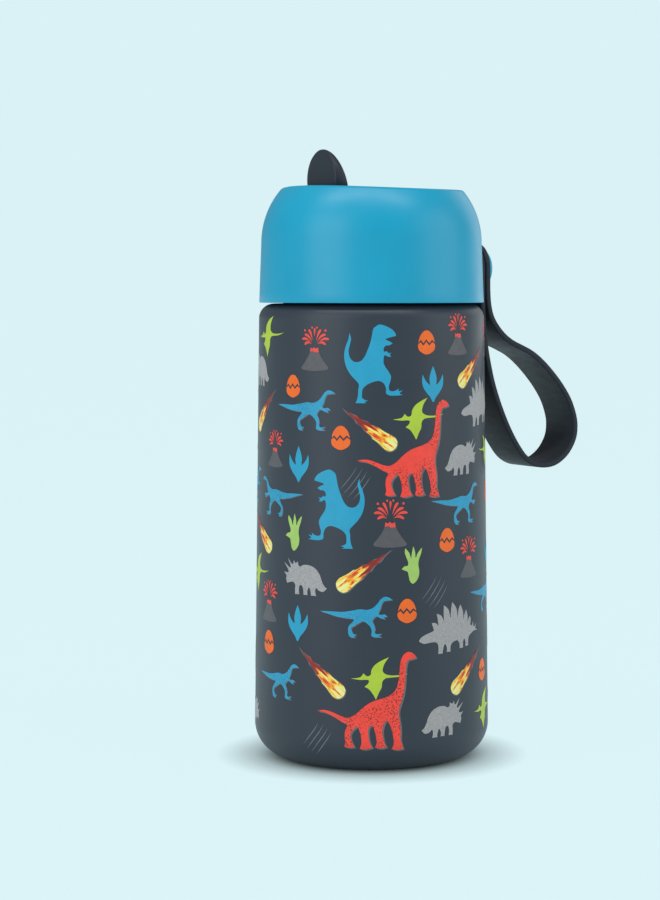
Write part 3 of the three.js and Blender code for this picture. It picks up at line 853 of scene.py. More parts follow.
# The band's centre line in (x, z), from the end beside the lid, round the loop, to the outer end.
# It runs half a thickness inside places on the band's edge, which were read off the photo and
# turned into millimetres through its camera.
BAND_LINE = [
    (36.9, 162.3), (36.9, 154.0), (36.9, 146.0), (37.1, 139.0), (37.5, 133.5), (38.2, 128.4),
    (39.1, 123.6), (40.7, 117.1), (42.8, 111.0), (45.4, 104.9), (48.0, 99.9), (50.6, 95.8),
    (53.4, 92.4), (56.8, 90.3), (60.5, 89.6), (64.2, 89.9), (67.3, 91.3), (70.3, 93.9),
    (72.6, 97.7), (73.3, 101.4), (72.9, 105.2), (71.0, 110.3), (67.8, 115.2), (63.9, 119.7),
    (60.0, 123.4), (56.2, 126.2), (52.3, 128.1), (48.7, 129.7), (45.4, 131.9), (42.6, 134.8),
    (40.5, 138.1), (39.4, 142.0), (39.0, 147.0), (39.0, 154.0), (39.0, 162.3),
]


def smooth_line(points, per_span):
    """Points on a Catmull-Rom curve through the given points."""
    out = []
    last = len(points) - 1
    for i in range(last):
        p = [Vector(points[min(max(i + j, 0), last)]) for j in (-1, 0, 1, 2)]
        for k in range(per_span):
            t = k / per_span
            out.append(
                0.5 * (2 * p[1] + (p[2] - p[0]) * t
                       + (2 * p[0] - 5 * p[1] + 4 * p[2] - p[3]) * t * t
                       + (3 * p[1] - p[0] - 3 * p[2] + p[3]) * t**3)
            )
    return out + [Vector(points[last])]


def strap():
    """The silicone band: rounded edges, half-round ends, both ends stacked on the stud."""
    end_steps, middle_steps, edge_round = 14, 230, 0.5
    rough_line = smooth_line(BAND_LINE, 8)
    line = [rough_line[0]]
    for p in rough_line[1:]:
        if (p - line[-1]).length > 1e-4:
            line.append(p)
    travelled = [0.0]
    for a, b in zip(line, line[1:]):
        travelled.append(travelled[-1] + (b - a).length)
    total = travelled[-1]
    ends = [BAND_HALF * (1 - math.cos(math.pi / 2 * k / end_steps)) for k in range(end_steps)]
    span = total - 2 * BAND_HALF
    stations = ends + [BAND_HALF + span * k / middle_steps for k in range(middle_steps + 1)]
    stations += [total - s for s in reversed(ends)]
    rings = []
    at = 0
    for s in stations:
        while at < len(travelled) - 2 and travelled[at + 1] < s:
            at += 1
        f = (s - travelled[at]) / (travelled[at + 1] - travelled[at])
        here = line[at].lerp(line[at + 1], min(max(f, 0.0), 1.0))
        low, high = max(at - 2, 0), min(at + 3, len(line) - 1)
        along = (line[high] - line[low]).normalized()
        across = Vector((along.y, -along.x))
        from_end = min(s, total - s)
        inside = max(BAND_HALF - from_end, 0.0)
        half = max(math.sqrt(max(BAND_HALF**2 - inside**2, 0.0)), 0.02)
        thick = BAND_THICK / 2
        if from_end < edge_round:
            roll = 1 - (1 - from_end / edge_round) ** 2
            thick *= math.sqrt(max(roll, 0.02)) * 0.55 + 0.45
        corner = min(edge_round, half * 0.9, thick * 0.95)
        ring = []
        for u, v in rounded_section(half, thick, corner, 4):
            p = here + across * v
            ring.append((p.x, u, p.y))
        rings.append(ring)
    sheet = Sheet()
    sheet.loops(rings, caps=(True, True))
    sheet.build("strap_band", "strap", "charcoal_silicone", "strap")


def strap_button():
    """The button: a domed head outside the band, and its post through to the lid's inside."""
    post, post_end, head, head_x, dome_x = 2.6, 31.75, 6.5, 40.2, 40.9
    profile = [(0.0, post_end), (2.2, post_end), (2.4, 32.0), (1.8, 32.15), (1.8, 32.95)]
    profile += [(post, 33.0), (post, head_x), (6.1, head_x), (6.35, head_x + 0.06), (head, 40.45)]
    dome_height = BUTTON_HIGH[0] - dome_x
    for k in range(15):
        a = math.pi / 2 * k / 14
        profile.append((head * math.cos(a) ** 0.82, dome_x + dome_height * math.sin(a)))
    sheet = Sheet()
    turn(sheet, profile, 112, "X", (0, 0, STUD_Z), closed=False)
    sheet.build("button_dome", "lid", "blue_plastic", "strap_button")


# ------------------------------------------------------------------ the print on the wall

PRINT_UNIT = 0.3  # mm for each unit of the drawings below, about a photo pixel at the wall
WRAP_R = 36.4  # mm, the radius the drawings are wrapped at
CUT = 1.1  # mm between the cuts that let a drawing follow the wall's curve

# Each drawing is a list of outlines, typed after looking at the photo and as big as the
# motif there. A point is (x, y), or (x, y, 1) for a sharp corner; x grows to the right and y upwards.
TYRANT = [[
    (33, 77), (38, 79.5), (44, 78), (50, 75), (54, 71), (55, 68, 1), (51, 67), (47, 66),
    (44, 64.5), (48, 62.5), (51.5, 60.5, 1), (48, 58.5), (44, 58), (42, 55), (42.5, 52),
    (45, 52.5), (47.5, 50.5), (50, 51.5, 1), (48.5, 48.8), (50, 47, 1), (46.5, 47), (43.5, 48.5),
    (42, 46), (42, 41), (43.5, 37), (47, 32), (49.5, 27), (48.8, 22), (47.3, 17), (48, 13),
    (51, 12), (55, 13), (58, 15, 1), (57.5, 12.2), (62, 12.8, 1), (58.5, 9.8), (62, 8.2, 1),
    (55, 7.6), (48, 7.8), (44.5, 10), (44.3, 15), (42, 20), (37, 22.5), (30, 21), (24, 18),
    (20.5, 14), (19.8, 9), (20.3, 5), (23, 3.4), (26, 2.4, 1), (22.5, 1.4), (24.5, 0, 1), (18, 0),
    (13, 0, 1), (14.5, 3), (15.7, 8), (16, 14), (16.5, 19), (13.5, 23), (9.5, 27), (5.5, 32.5),
    (2.8, 38.5), (1.4, 45), (1.5, 52), (3.4, 59), (5.6, 64.5), (6.6, 71, 1), (8.4, 65.5),
    (7.2, 59), (5.9, 53), (6.9, 47), (9.8, 43), (14, 41.5), (19, 43), (23, 48), (26, 55),
    (28.5, 62), (30, 69), (31, 74),
]]
RUNNER = [[
    (0, 25, 1), (12, 25.2), (24, 25), (34, 26.5), (42, 28), (50, 27.6), (56, 30), (60, 34),
    (63, 38), (67, 40.5), (71, 40), (75, 37.4, 1), (70, 36.8), (66, 36.2), (64, 33), (62.4, 28),
    (60.5, 24), (63, 22.4), (67, 22.8), (69.8, 20.6, 1), (66, 20), (68, 17.8, 1), (63, 19),
    (59, 21), (56, 19), (54.6, 16), (56.4, 12), (57.2, 8), (56.6, 5), (59, 3), (64.5, 3.6, 1),
    (61, 1.4), (64.5, 0, 1), (57, 0), (53.6, 1.5), (54, 6), (52.8, 10), (49, 14), (45, 16),
    (41, 14), (36.8, 11.5), (33.4, 9), (33.8, 6), (35.4, 3.4), (39, 2.2, 1), (36, 0.9),
    (38, -0.6, 1), (33, -0.4), (30.8, 2), (30.2, 7), (31, 11), (34.6, 15), (35.6, 18), (28, 18.8),
    (18, 20.4), (8, 23),
]]
LONG_NECK = [[
    (0, 38, 1), (8, 39.5), (17, 37.5), (26, 34), (33, 33), (40, 36.5), (47, 43), (55, 48.5),
    (63, 51.5), (71, 54), (77, 57.5), (81, 63), (83, 71), (84, 80), (85, 88), (87, 94), (91, 98),
    (95, 98.5), (99.5, 96), (101.5, 92.5, 1), (97, 91), (93, 90.5), (91, 86), (90.2, 78),
    (89.8, 70), (88.8, 61), (87.2, 53), (84.8, 46), (83.2, 40), (83.4, 33), (84.6, 26), (85, 18),
    (84.8, 11), (86.5, 5), (88, 1, 1), (82, 0), (76, 1, 1), (77.8, 6), (77.6, 13), (76, 20),
    (73.6, 27), (70.6, 30), (67.8, 26), (66.6, 20), (67.2, 13), (68.4, 8), (71, 3.5, 1), (65, 2),
    (59.5, 3, 1), (61, 8), (60.4, 14), (59, 20), (56.6, 25), (53.6, 24), (52.4, 19), (53, 13),
    (54, 8), (56.8, 3, 1), (50, 1), (44, 1.5, 1), (45.8, 7), (45.6, 13), (44.2, 19), (42, 24),
    (38.4, 22), (35, 17), (35.2, 12), (37, 7), (39, 3.5, 1), (33, 2.5), (28.5, 3.5, 1),
    (29.6, 8), (29, 14), (29.6, 20), (31.6, 25.5), (26, 28.5), (18, 33), (9, 36.8),
]]
THREE_HORN = [[
    (0, 9, 1), (4, 5.5), (9, 6.5), (12, 9), (13, 5), (12, 0.8, 1), (18, 0.8, 1), (18.5, 5),
    (20.4, 9), (22.5, 5), (22, 1.2, 1), (27, 1.2, 1), (27.5, 6), (29, 10), (32, 10.5), (33, 6),
    (32.5, 1.2, 1), (38, 1.2, 1), (38.2, 6), (38, 10.8), (41, 13.4), (45, 12.8), (49.5, 11.6, 1),
    (51, 16), (50.4, 19), (54, 23, 1), (48.8, 22.4), (47.4, 24.4), (54, 33, 1), (46.4, 28),
    (44.2, 28.4), (48.5, 37.5, 1), (42, 31.4), (40, 35.4, 1), (37.6, 32.8), (34.4, 34.6, 1),
    (33.8, 31), (31.5, 29.6), (27, 31.5), (20, 31.5), (13, 28.5), (8, 22.5), (5.5, 16), (3, 11.5),
]]
PLATED = [[
    (0, 15, 1), (5, 12.6), (11, 13), (17, 13.4), (21, 12), (22.4, 7), (22, 1, 1), (27.5, 1, 1),
    (28.5, 6), (30.6, 10.5), (33, 7), (33, 2, 1), (38, 2, 1), (38.5, 8), (42, 11.5), (48, 12.5),
    (51, 9), (51.5, 4, 1), (57, 4, 1), (57, 10), (59, 13), (60.8, 9.5), (61, 5, 1), (66, 5.5, 1),
    (66, 11), (68, 15), (74, 18), (80, 19.4), (86, 19, 1), (81, 21.6), (83, 27, 1), (77.5, 23.4),
    (76, 29.5, 1), (73, 25), (70.4, 26.4, 1), (71.2, 31), (70, 35.5, 1), (67, 33), (65.4, 29.6, 1),
    (65.2, 36), (62.8, 42.5, 1), (59.6, 38), (58, 32.4, 1), (57.2, 41), (53, 49, 1), (49.8, 43),
    (48.5, 34.8, 1), (47, 45), (41, 52.5, 1), (39.2, 45), (38.5, 35.6, 1), (35.6, 45),
    (29.5, 50, 1), (29.2, 43), (29.5, 34, 1), (26, 39.6), (20.5, 42, 1), (21.6, 36.5),
    (22.5, 29.6, 1), (19, 32.6), (14.5, 33, 1), (15.8, 29), (17, 25, 1), (12, 23.2), (7, 21.5),
    (3, 19.5), (0.5, 17),
]]
GLIDER = [[
    (0, 19, 1), (9, 20.4), (12.5, 24.5, 1), (16, 21.6), (19.6, 23), (20.6, 28), (24, 33),
    (30, 37), (38, 40.5, 1), (34, 35), (32, 30), (32, 26), (35, 23.4), (40, 22.2), (48, 22.2),
    (58, 23.4, 1), (48, 20.6), (40, 20), (34.6, 19.2), (31.4, 16), (30.6, 10), (28, 5),
    (25, -2, 1), (21.6, 4), (18, 8.4), (13.6, 11, 1), (17, 14), (18, 17.2), (15, 18), (9, 17.8),
]]
BIRD_TRACK = [[
    (13, 0), (9.5, 5), (5, 10), (1.5, 15), (0, 21), (0.6, 28.5, 1), (3.5, 23), (6.5, 19.5),
    (9, 18), (8.6, 24), (10, 30), (13, 37, 1), (16, 30), (17.4, 24), (17, 18), (19.5, 19.5),
    (22.5, 23), (25.4, 28.5, 1), (26, 21), (24.5, 15), (21, 10), (16.5, 5),
]]
PAW_TRACK = [[
    (11, 0), (7.5, 2.5), (6, 8), (5, 12), (2, 13.5), (-1.5, 15, 1), (1.5, 17.6), (5, 18.5),
    (5.5, 22), (3.5, 27), (2, 32), (2.6, 36, 1), (6.5, 31.5), (8.6, 26), (9.5, 31), (11, 38, 1),
    (13, 32), (13.6, 26), (15.5, 30), (18.5, 34), (20.8, 36, 1), (19.5, 30), (17.5, 25),
    (16.5, 19), (17.5, 12), (16, 5),
]]
EGG = [
    [(1, 10), (4, 12.5, 1), (7, 9, 1), (10.5, 13, 1), (14, 9, 1), (17.5, 12.5, 1), (21, 10),
     (19.5, 4), (11, 0), (2.5, 4)],
    [(1.5, 12.5), (4, 15, 1), (7, 11.5, 1), (10.5, 15.5, 1), (14, 11.5, 1), (17.5, 15, 1),
     (20.5, 12.5), (18.5, 19), (14.5, 23.5), (11, 24.5), (7.5, 23.5), (3.5, 19)],
]
CONE = [[
    (11.6, 19.5, 1), (20.4, 19.5, 1), (23.5, 13), (28.5, 6), (32, 1.5), (29, -0.8), (16, -1.8),
    (3, -0.8), (0, 1.5), (3.5, 6), (8.5, 13),
]]
CRATER = [[
    (10.8, 17.6, 1), (14, 18.6), (17, 17), (21.2, 17.6, 1), (20.4, 22, 1), (17.6, 21),
    (15.4, 22.6, 1), (13.8, 21), (11.4, 22, 1),
]]


VENT = (15.9, 21.6)


def lava_drop(reach, rise, start, finish, width):
    """A streak along a flight that passes reach across and rise above the vent at time 1.

    It runs from the start time to the finish time and is broadest near its front.
    """
    fall, steps = 30.0, 9
    left, right = [], []
    for k in range(steps + 1):
        f = k / steps
        t = start + (finish - start) * f
        x = VENT[0] + reach * t
        y = VENT[1] + (rise + fall / 2) * t - fall / 2 * t * t
        dx, dy = reach, rise + fall / 2 - fall * t
        length = math.hypot(dx, dy)
        half = 0.5 * width * math.sin(math.pi * (0.06 + 0.88 * f) ** 1.7) ** 0.7
        left.append((x - dy / length * half, y + dx / length * half))
        right.append((x + dy / length * half, y - dx / length * half))
    return left + right[::-1]


def lava_spray():
    """Streaks thrown out of the crater in a fan, bending over at the sides."""
    outlines = [lava_drop(0.4, 20.5, 0.4, 0.94, 2.2)]
    for side in (-0.94, 1.04):
        for reach, rise, start in ((12.6, 3.4, 0.28), (16.0, 8.8, 0.34), (12.4, 13.4, 0.24)):
            outlines.append(lava_drop(side * reach, rise, start, 1.0, 2.7))
        outlines.append(lava_drop(side * 8.0, 19.0, 0.26, 0.92, 2.6))
        outlines.append(lava_drop(side * 13.6, 18.2, 0.8, 0.98, 2.3))
        outlines.append(lava_drop(side * 3.6, 22.4, 0.72, 0.9, 2.1))
    return outlines


SPRAY = lava_spray()
FLAME = [[
    (-8, 0), (-5.5, 6.4), (0, 8.8), (7, 8.2), (14, 7.2), (20, 7.4, 1), (24, 5.6), (31, 5.6, 1),
    (36, 3.8), (44, 3.8, 1), (48, 2), (57, 1.6, 1), (66, 0, 1), (56, -1.0), (48, -3.4, 1),
    (42, -2.8), (34, -5.4, 1), (30, -4.8), (21, -7.2, 1), (14, -7.2), (6, -8.4), (0, -8.8),
    (-5.5, -6.4),
]]
SCRATCH_COUNT = 4
SCRATCH_STEP = 4.6  # grid steps between two scratches
FIRST_LIFT = 0.03  # mm the lowest ink stands off the coat
LAYER_LIFT = 0.012  # mm from one ink to the next above it


def curved(outline, per_span=6):
    """Turns an outline with sharp and smooth corners into a fine polygon."""
    count = len(outline)
    points = [Vector(p[:2]) for p in outline]
    sharp = [len(p) == 3 for p in outline]
    fine = []
    for i in range(count):
        a, b = points[i], points[(i + 1) % count]
        before, after = points[i - 1], points[(i + 2) % count]
        chord = b - a
        start = chord * 0.7 if sharp[i] else (b - before) * 0.5
        finish = chord * 0.7 if sharp[(i + 1) % count] else (after - a) * 0.5
        limit = chord.length * 1.3
        start = start * min(1.0, limit / max(start.length, 1e-9))
        finish = finish * min(1.0, limit / max(finish.length, 1e-9))
        for k in range(per_span):
            t = k / per_span
            h = (2 * t**3 - 3 * t**2 + 1, t**3 - 2 * t**2 + t, 3 * t**2 - 2 * t**3, t**3 - t**2)
            fine.append(a * h[0] + start * h[1] + b * h[2] + finish * h[3])
    return fine


class Printed:
    """All the drawings in one ink, laid on the wall."""

    def __init__(self, name, material, layer):
        self.name = name
        self.material = material
        self.lift = FIRST_LIFT + LAYER_LIFT * layer
        self.mesh = bmesh.new()
        self.uv = self.mesh.loops.layers.uv.new("UVMap")

    def add(self, outlines, bearing, height, scale, flip=False, tilt=0.0, move=(0, 0), anchor=None):
        """Draws outlines at a bearing (degrees from the side facing the camera) and a height.

        What goes there is their middle, or the anchor. The UV map keeps the drawing's own
        coordinates in hundredths.
        """
        flat = []
        for outline in outlines:
            simple = len(outline) <= 8 and all(len(p) == 2 for p in outline)
            flat.append(curved(outline, 4 if simple else 6))
        every = [p for outline in flat for p in outline]
        low = Vector((min(p.x for p in every), min(p.y for p in every)))
        high = Vector((max(p.x for p in every), max(p.y for p in every)))
        middle = Vector(anchor) if anchor else (low + high) / 2
        turn_by = Matrix.Rotation(math.radians(tilt), 2)
        mirror = -1 if flip else 1
        for outline in flat:
            placed = []
            for p in outline:
                local = turn_by @ Vector(((p.x - middle.x) * mirror, p.y - middle.y))
                local = local * scale * PRINT_UNIT + Vector(move)
                placed.append(Vector((local.x, local.y, 0)))
            self.patch(outline, placed, bearing, height)

    def patch(self, outline, placed, bearing, height):
        """Fills one placed outline, cuts it into strips and bends it round the wall."""
        work = bmesh.new()
        uv = work.loops.layers.uv.new("UVMap")
        made = [work.verts.new(p) for p in placed]
        for triangle in geometry.tessellate_polygon([placed]):
            face = work.faces.new([made[i] for i in triangle])
            for loop, i in zip(face.loops, triangle):
                loop[uv].uv = (outline[i].x / 100, outline[i].y / 100 + 0.5)
        self.cut(work, placed, 0)
        lowest, highest = min(p.y for p in placed), max(p.y for p in placed)
        if height + lowest < FOOT_FILLET + 1 or height + highest > TOP_Z - 1:
            self.cut(work, placed, 1)
        centre = math.radians(VIEW_FACING + bearing)
        wrapped = {}
        for vert in work.verts:
            z = height + vert.co.y
            a = centre + vert.co.x / WRAP_R
            r = (body_radius(z) + self.lift) * MM
            wrapped[vert] = self.mesh.verts.new((r * math.cos(a), r * math.sin(a), z * MM))
        for face in work.faces:
            new = self.mesh.faces.new([wrapped[v] for v in face.verts])
            new.smooth = True
            for loop, source in zip(new.loops, face.loops):
                loop[self.uv].uv = source[uv].uv
        work.free()

    def cut(self, work, placed, axis):
        """Cuts a flat drawing along evenly spaced lines across one axis."""
        normal = Vector((1 - axis, axis, 0))
        ends = [p[axis] / CUT for p in placed]
        for line in range(math.ceil(min(ends)), math.floor(max(ends)) + 1):
            everything = work.verts[:] + work.edges[:] + work.faces[:]
            at = normal * line * CUT
            bmesh.ops.bisect_plane(work, geom=everything, dist=1e-5, plane_co=at, plane_no=normal)

    def build(self):
        for face in self.mesh.faces:
            face.normal_update()
            middle = face.calc_center_median()
            if face.normal.dot(Vector((middle.x, middle.y, 0))) < 0:
                face.normal_flip()
        mesh = bpy.data.meshes.new(self.name)
        self.mesh.to_mesh(mesh)
        self.mesh.free()
        mesh.materials.append(self.material)
        mesh.normals_split_custom_set_from_vertices([wall_normal(v.co) for v in mesh.vertices])
        piece = bpy.data.objects.new(self.name, mesh)
        bpy.context.scene.collection.objects.link(piece)
        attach(piece, "flask")


def wall_normal(point):
    """The painted wall's own normal at a place on it, so that the print shades as the wall."""
    up = 0.01
    if point.z / MM < FOOT_FILLET:
        up = point.z / MM / FOOT_FILLET - 1
    flat = math.sqrt(max(1 - up * up, 0.0)) / math.hypot(point.x, point.y)
    return point.x * flat, point.y * flat, up


SPECKED_BLUE = ink("ink_blue", srgb(46, 153, 192), 0.05, 300, 0.5, srgb(56, 96, 118))
SPECKED_RED = ink("ink_red", srgb(246, 74, 62), 0.05, 300, 0.9, srgb(112, 48, 46))

INKS = {
    "shadow": Printed("print_shadow", ink("ink_shadow", srgb(104, 103, 106), 0.12), 0),
    "scratch": Printed("print_scratches", ink("ink_scratch", srgb(112, 117, 122), 0.2), 1),
    "lime": Printed("print_lime", ink("ink_lime", srgb(176, 200, 62), 0.05), 2),
    "leaf": Printed("print_leaf", ink("ink_leaf", srgb(164, 198, 104), 0.06), 2),
    "stone": Printed("print_stone", ink("ink_stone", srgb(163, 159, 160), 0.2, 2400), 2),
    "rock": Printed("print_rock", ink("ink_rock", srgb(91, 89, 93), 0.08, 500), 2),
    "blue": Printed("print_blue", SPECKED_BLUE, 2),
    "flat_blue": Printed("print_plain_blue", ink("ink_plain_blue", srgb(42, 155, 192), 0.04), 2),
    "orange": Printed("print_orange", ink("ink_orange", srgb(240, 106, 36), 0.06), 3),
    "lava": Printed("print_lava", ink("ink_lava", srgb(234, 78, 66), 0.05), 3),
    "red": Printed("print_red", SPECKED_RED, 4),
    "flame": Printed("print_flames", flame_ink(), 3),
}

# Each motif is one or more drawings: ink, outlines, and how it differs from the plain way.
SUMMIT = {"anchor": (16, 19.5)}
MOTIFS = {
    "tyrant": [("flat_blue", TYRANT, {})],
    "runner": [("shadow", RUNNER, {"move": (0.28, -0.2)}), ("blue", RUNNER, {})],
    "long_neck": [("shadow", LONG_NECK, {"move": (0.5, -0.38)}), ("red", LONG_NECK, {})],
    "three_horn": [("stone", THREE_HORN, {})],
    "plated": [("stone", PLATED, {})],
    "glider": [("lime", GLIDER, {})],
    "bird_track": [("flat_blue", BIRD_TRACK, {})],
    "paw_track": [("leaf", PAW_TRACK, {})],
    "egg": [("orange", EGG, {})],
    "volcano": [("rock", CONE, SUMMIT), ("lava", CRATER, SUMMIT), ("lava", SPRAY, SUMMIT)],
    "meteor": [
        ("flame", FLAME, {"size": 0.88, "anchor": (31.8, 0)}),
        ("shadow", FLAME, {"size": 0.95, "anchor": (29.6, 0), "move": (0.1, -0.14)}),
    ],
}


def draw(kind, bearing, height, flip=False, tilt=0.0, scale=1.0):
    """Lays one motif of the pattern on the wall."""
    if kind == "scratches":
        scratches(bearing, height, scale)
        return
    for ink_name, outlines, options in MOTIFS[kind]:
        rest = {key: value for key, value in options.items() if key != "size"}
        size = scale * options.get("size", 1.0)
        INKS[ink_name].add(outlines, bearing, height, size, flip, tilt, **rest)


def scratches(bearing, height, scale):
    """A row of thin curved scratches, each a little lower than the one to its left."""
    middle = (SCRATCH_COUNT - 1) / 2
    for k in range(SCRATCH_COUNT):
        reach = 27 - 3 * abs(k - middle)
        steps = ((0, 0, 0.0), (0.3, 0.36, 0.55), (0.64, 0.8, 0.5), (0.84, 1.12, 0.0))
        spine = [(reach * along, reach * up) for along, up, _ in steps]
        under = [(x + width, y - width) for (x, y), (_, _, width) in zip(spine, steps)]
        outline = [(*spine[0], 1), spine[1], spine[2], (*spine[3], 1), under[2], under[1]]
        step = (k - middle) * SCRATCH_STEP * PRINT_UNIT
        aside = bearing + math.degrees(step / WRAP_R)
        INKS["scratch"].add([outline], aside, height - step * 0.7, scale)


# The side that faces the camera: motif, bearing in degrees (right positive), height, options. The
# places were read off the photo and turned into bearings and heights through its camera.
PATTERN = [
    ("glider", -62.5, 132.6, {}),
    ("volcano", -29, 128.7, {}),
    ("tyrant", 1, 124.6, {}),
    ("egg", 28, 131.0, {}),
    ("volcano", 48, 133.0, {"scale": 0.95}),
    ("egg", -42, 117.5, {"scale": 0.95}),
    ("meteor", 61.5, 124.0, {"tilt": 37}),
    ("runner", -35.5, 110.3, {}),
    ("bird_track", 31.5, 118.3, {}),
    ("meteor", -66.5, 110.0, {"tilt": 42, "scale": 0.95}),
    ("egg", -15, 102.1, {}),
    ("meteor", -1.6, 105.3, {"tilt": 144}),
    ("glider", 24, 107.8, {}),
    ("long_neck", 17, 98.6, {}),
    ("three_horn", 51, 95.5, {}),
    ("volcano", -55.5, 97.6, {"scale": 0.85}),
    ("bird_track", -38, 93.7, {}),
    ("tyrant", -17.6, 80.5, {"flip": True}),
    ("scratches", -8, 88.5, {}),
    ("runner", -52, 83.1, {"flip": True, "scale": 0.95}),
    ("runner", 47.5, 81.1, {}),
    ("volcano", 9, 75.8, {"scale": 1.08}),
    ("paw_track", -41, 72.8, {}),
    ("meteor", -71.5, 72.5, {"tilt": 143}),
    ("egg", 39.5, 70.4, {}),
    ("volcano", 55.5, 64.1, {"scale": 0.95}),
    ("paw_track", 19.7, 63.5, {}),
    ("three_horn", -34.5, 59.3, {"flip": True}),
    ("meteor", -3, 62.4, {"tilt": 36}),
    ("volcano", -60, 50.2, {"scale": 0.95}),
    ("scratches", 32, 54.8, {}),
    ("runner", 72, 52.1, {"scale": 0.9}),
    ("bird_track", -38, 45.1, {}),
    ("runner", -7.7, 47.9, {}),
    ("egg", 17.2, 49.6, {}),
    ("plated", 43.5, 43.6, {}),
    ("egg", -60, 37.8, {}),
    ("meteor", -25.5, 31.0, {"tilt": 137}),
    ("runner", -53, 26.8, {"scale": 0.9}),
    ("glider", 4, 29.4, {}),
    ("meteor", 54.8, 30.3, {"tilt": 40}),
    ("egg", 69.5, 28.4, {"scale": 0.95}),
    ("long_neck", -2.4, 22.4, {}),
    ("scratches", -27, 10.5, {}),
    ("three_horn", 37, 16.1, {}),
]

REPEATED = 66  # motifs nearer the middle than this many degrees are printed on both sides

# Motifs near the two edges between the side facing the camera and the far side.
SEAM = [
    ("three_horn", -75, 122.5, {"flip": True}),
    ("plated", 70.5, 112.3, {}),
    ("egg", 83, 83.8, {}),
    ("bird_track", 83, 64.6, {}),
    ("glider", -74, 58.6, {}),
    ("paw_track", 88, 39.2, {}),
    ("meteor", -88, 31.5, {"tilt": 60, "scale": 0.8}),
    ("glider", 73, 16.2, {}),
    ("glider", 78, 96.5, {"flip": True, "scale": 0.8}),
    ("three_horn", -84, 14.5, {}),
    ("runner", -88, 86.0, {"scale": 0.9}),
    ("volcano", 84, 131.5, {"scale": 0.9}),
    ("egg", 101, 132.5, {}),
    ("bird_track", 99, 118.5, {}),
    ("meteor", 106, 107.5, {"tilt": 143}),
    ("egg", 102, 95.0, {}),
    ("paw_track", 100, 81.0, {}),
    ("three_horn", 103, 66.0, {}),
    ("egg", 104, 52.5, {}),
    ("bird_track", 104, 38.5, {}),
    ("meteor", 103, 24.0, {"tilt": 37}),
    ("scratches", 99, 10.0, {}),
    ("egg", -97, 133.5, {}),
    ("tyrant", -100, 106.0, {}),
    ("bird_track", -105, 71.5, {}),
    ("three_horn", -104, 51.5, {}),
    ("volcano", -105, 34.0, {}),
    ("egg", -106, 16.0, {}),
]


def print_pattern():
    """Prints the near side and repeats it on the far side, then fills the seams between them."""
    for kind, bearing, height, options in PATTERN:
        draw(kind, bearing, height, **options)
        if abs(bearing) < REPEATED:
            draw(kind, bearing + 180, height, **options)
    for kind, bearing, height, options in SEAM:
        draw(kind, bearing, height, **options)
    for layer in INKS.values():
        layer.build()


# ------------------------------------------------------------------ the CAD nodes that stay


def dress_cad_nodes():
    """Gives each CAD node that still shows the material its slot names."""
    slots = {s["node"]: s["material_slot"] for s in frame["record"]["subparts"]}
    for name, node in frame["nodes"].items():
        if node.hide_render:
            continue
        node.data.materials.clear()
        node.data.materials.append(LOOKS[slots[name]])


# ------------------------------------------------------------------ floor, light and camera


PALE = srgb(218, 242, 246)  # the surround's tone
SKY = 0.3  # how strongly the sky lights the scene
FLOOR_ALBEDO = 0.02
FLOOR_R = 60.0  # m
FLOOR_DROP = 0.0001  # m the floor lies below the bottle's foot
CONTACT_REACH = 0.015  # m, how far the soft shadow round the foot runs


def floor():
    """A pale floor to the horizon, in the sky's tone, with a soft shadow where things touch it."""
    rays = 64
    vertices = [(0.0, 0.0, -FLOOR_DROP)]
    for k in range(rays):
        a = 2 * math.pi * k / rays
        vertices.append((FLOOR_R * math.cos(a), FLOOR_R * math.sin(a), -FLOOR_DROP))
    faces = [(0, k + 1, (k + 1) % rays + 1) for k in range(rays)]
    mesh = bpy.data.meshes.new("floor")
    mesh.from_pydata(vertices, [], faces)
    look = Look("floor_paper", Roughness=0.9, Specular_IOR_Level=0.0, Emission_Strength=1.0)
    own_tone = (*[c - FLOOR_ALBEDO * SKY for c in PALE[:3]], 1.0)
    contact = look.node("AmbientOcclusion", Color=own_tone, Distance=CONTACT_REACH)
    contact.samples = 12
    look.link(contact.outputs["Color"], look.shader.inputs["Emission Color"])
    paper = (FLOOR_ALBEDO, FLOOR_ALBEDO * 1.1, FLOOR_ALBEDO * 1.12, 1.0)
    look.colour(look.drift(look.noise(6, 2), paper, 0.98, 1.02))
    mesh.materials.append(look.material)
    ground = bpy.data.objects.new("floor", mesh)
    bpy.context.scene.collection.objects.link(ground)


def at_bearing(degrees, distance, height):
    """A place at a bearing from the camera's side of the bottle, in metres."""
    a = math.radians(VIEW_FACING + degrees)
    return Vector((distance * math.cos(a), distance * math.sin(a), height))


def point_at(thing, direction):
    thing.rotation_mode = "QUATERNION"
    thing.rotation_quaternion = direction.to_track_quat("-Z", "Y")
    bpy.context.scene.collection.objects.link(thing)


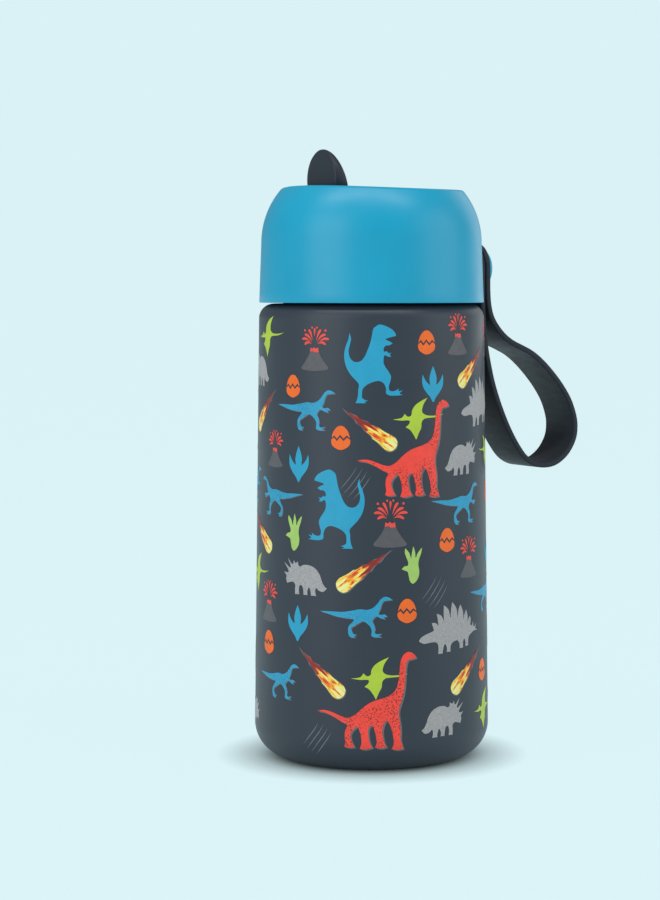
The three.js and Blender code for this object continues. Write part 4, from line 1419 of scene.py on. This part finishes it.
def soft_box(name, place, size, power, aim_height=0.09):
    """An area light of some width and height, aimed at the bottle's axis."""
    light = bpy.data.lights.new(name, "AREA")
    light.shape = "RECTANGLE"
    light.size, light.size_y = size
    light.energy = power
    lamp = bpy.data.objects.new(name, light)
    lamp.location = place
    point_at(lamp, Vector((0, 0, aim_height)) - place)


def lights_and_world():
    """Four soft boxes, and a sky that is seen in the floor's tone but lights the scene less."""
    soft_box("key_left", at_bearing(-46, 1.1, 0.44), (0.8, 0.84), 4.9)
    soft_box("fill_right", at_bearing(76, 1.1, 0.42), (0.9, 0.8), 3.6)
    soft_box("rim_right", at_bearing(142, 0.9, 0.36), (0.5, 0.66), 1.0)
    soft_box("top", at_bearing(-8, 0.32, 0.95), (1.3, 0.16), 5.6, aim_height=0.175)
    world = bpy.data.worlds.new("studio")
    bpy.context.scene.world = world
    world.use_nodes = True
    nodes, links = world.node_tree.nodes, world.node_tree.links
    soft = nodes["Background"]
    soft.inputs["Color"].default_value = srgb(236, 247, 250)
    soft.inputs["Strength"].default_value = SKY
    seen = nodes.new("ShaderNodeBackground")
    seen.inputs["Color"].default_value = PALE
    mix = nodes.new("ShaderNodeMixShader")
    links.new(nodes.new("ShaderNodeLightPath").outputs["Is Camera Ray"], mix.inputs["Fac"])
    links.new(soft.outputs["Background"], mix.inputs[1])
    links.new(seen.outputs["Background"], mix.inputs[2])
    links.new(mix.outputs["Shader"], nodes["World Output"].inputs["Surface"])


def camera():
    """Level with the lid's skirt, 30 degrees round from the side view.

    The shift keeps the bottle's sides upright, as a product photographer's view camera does.
    """
    distance, eye_height = 0.75, 0.147
    data = bpy.data.cameras.new("camera")
    data.lens = 94.26
    data.sensor_width = 36.0
    data.shift_x = -0.0461
    data.shift_y = -0.1778
    shot = bpy.data.objects.new("camera", data)
    shot.location = at_bearing(0, distance, eye_height)
    point_at(shot, at_bearing(180, 1.0, 0.0))
    bpy.context.scene.camera = shot
    bpy.context.scene.view_settings.view_transform = "Standard"


camera()
lights_and_world()
floor()
outer_shell()
base_pieces()
liner()
lid_cover()
lid_insert()
lid_small_parts()
spout()
mouthpiece()
strap()
strap_button()
print_pattern()
dress_cad_nodes()
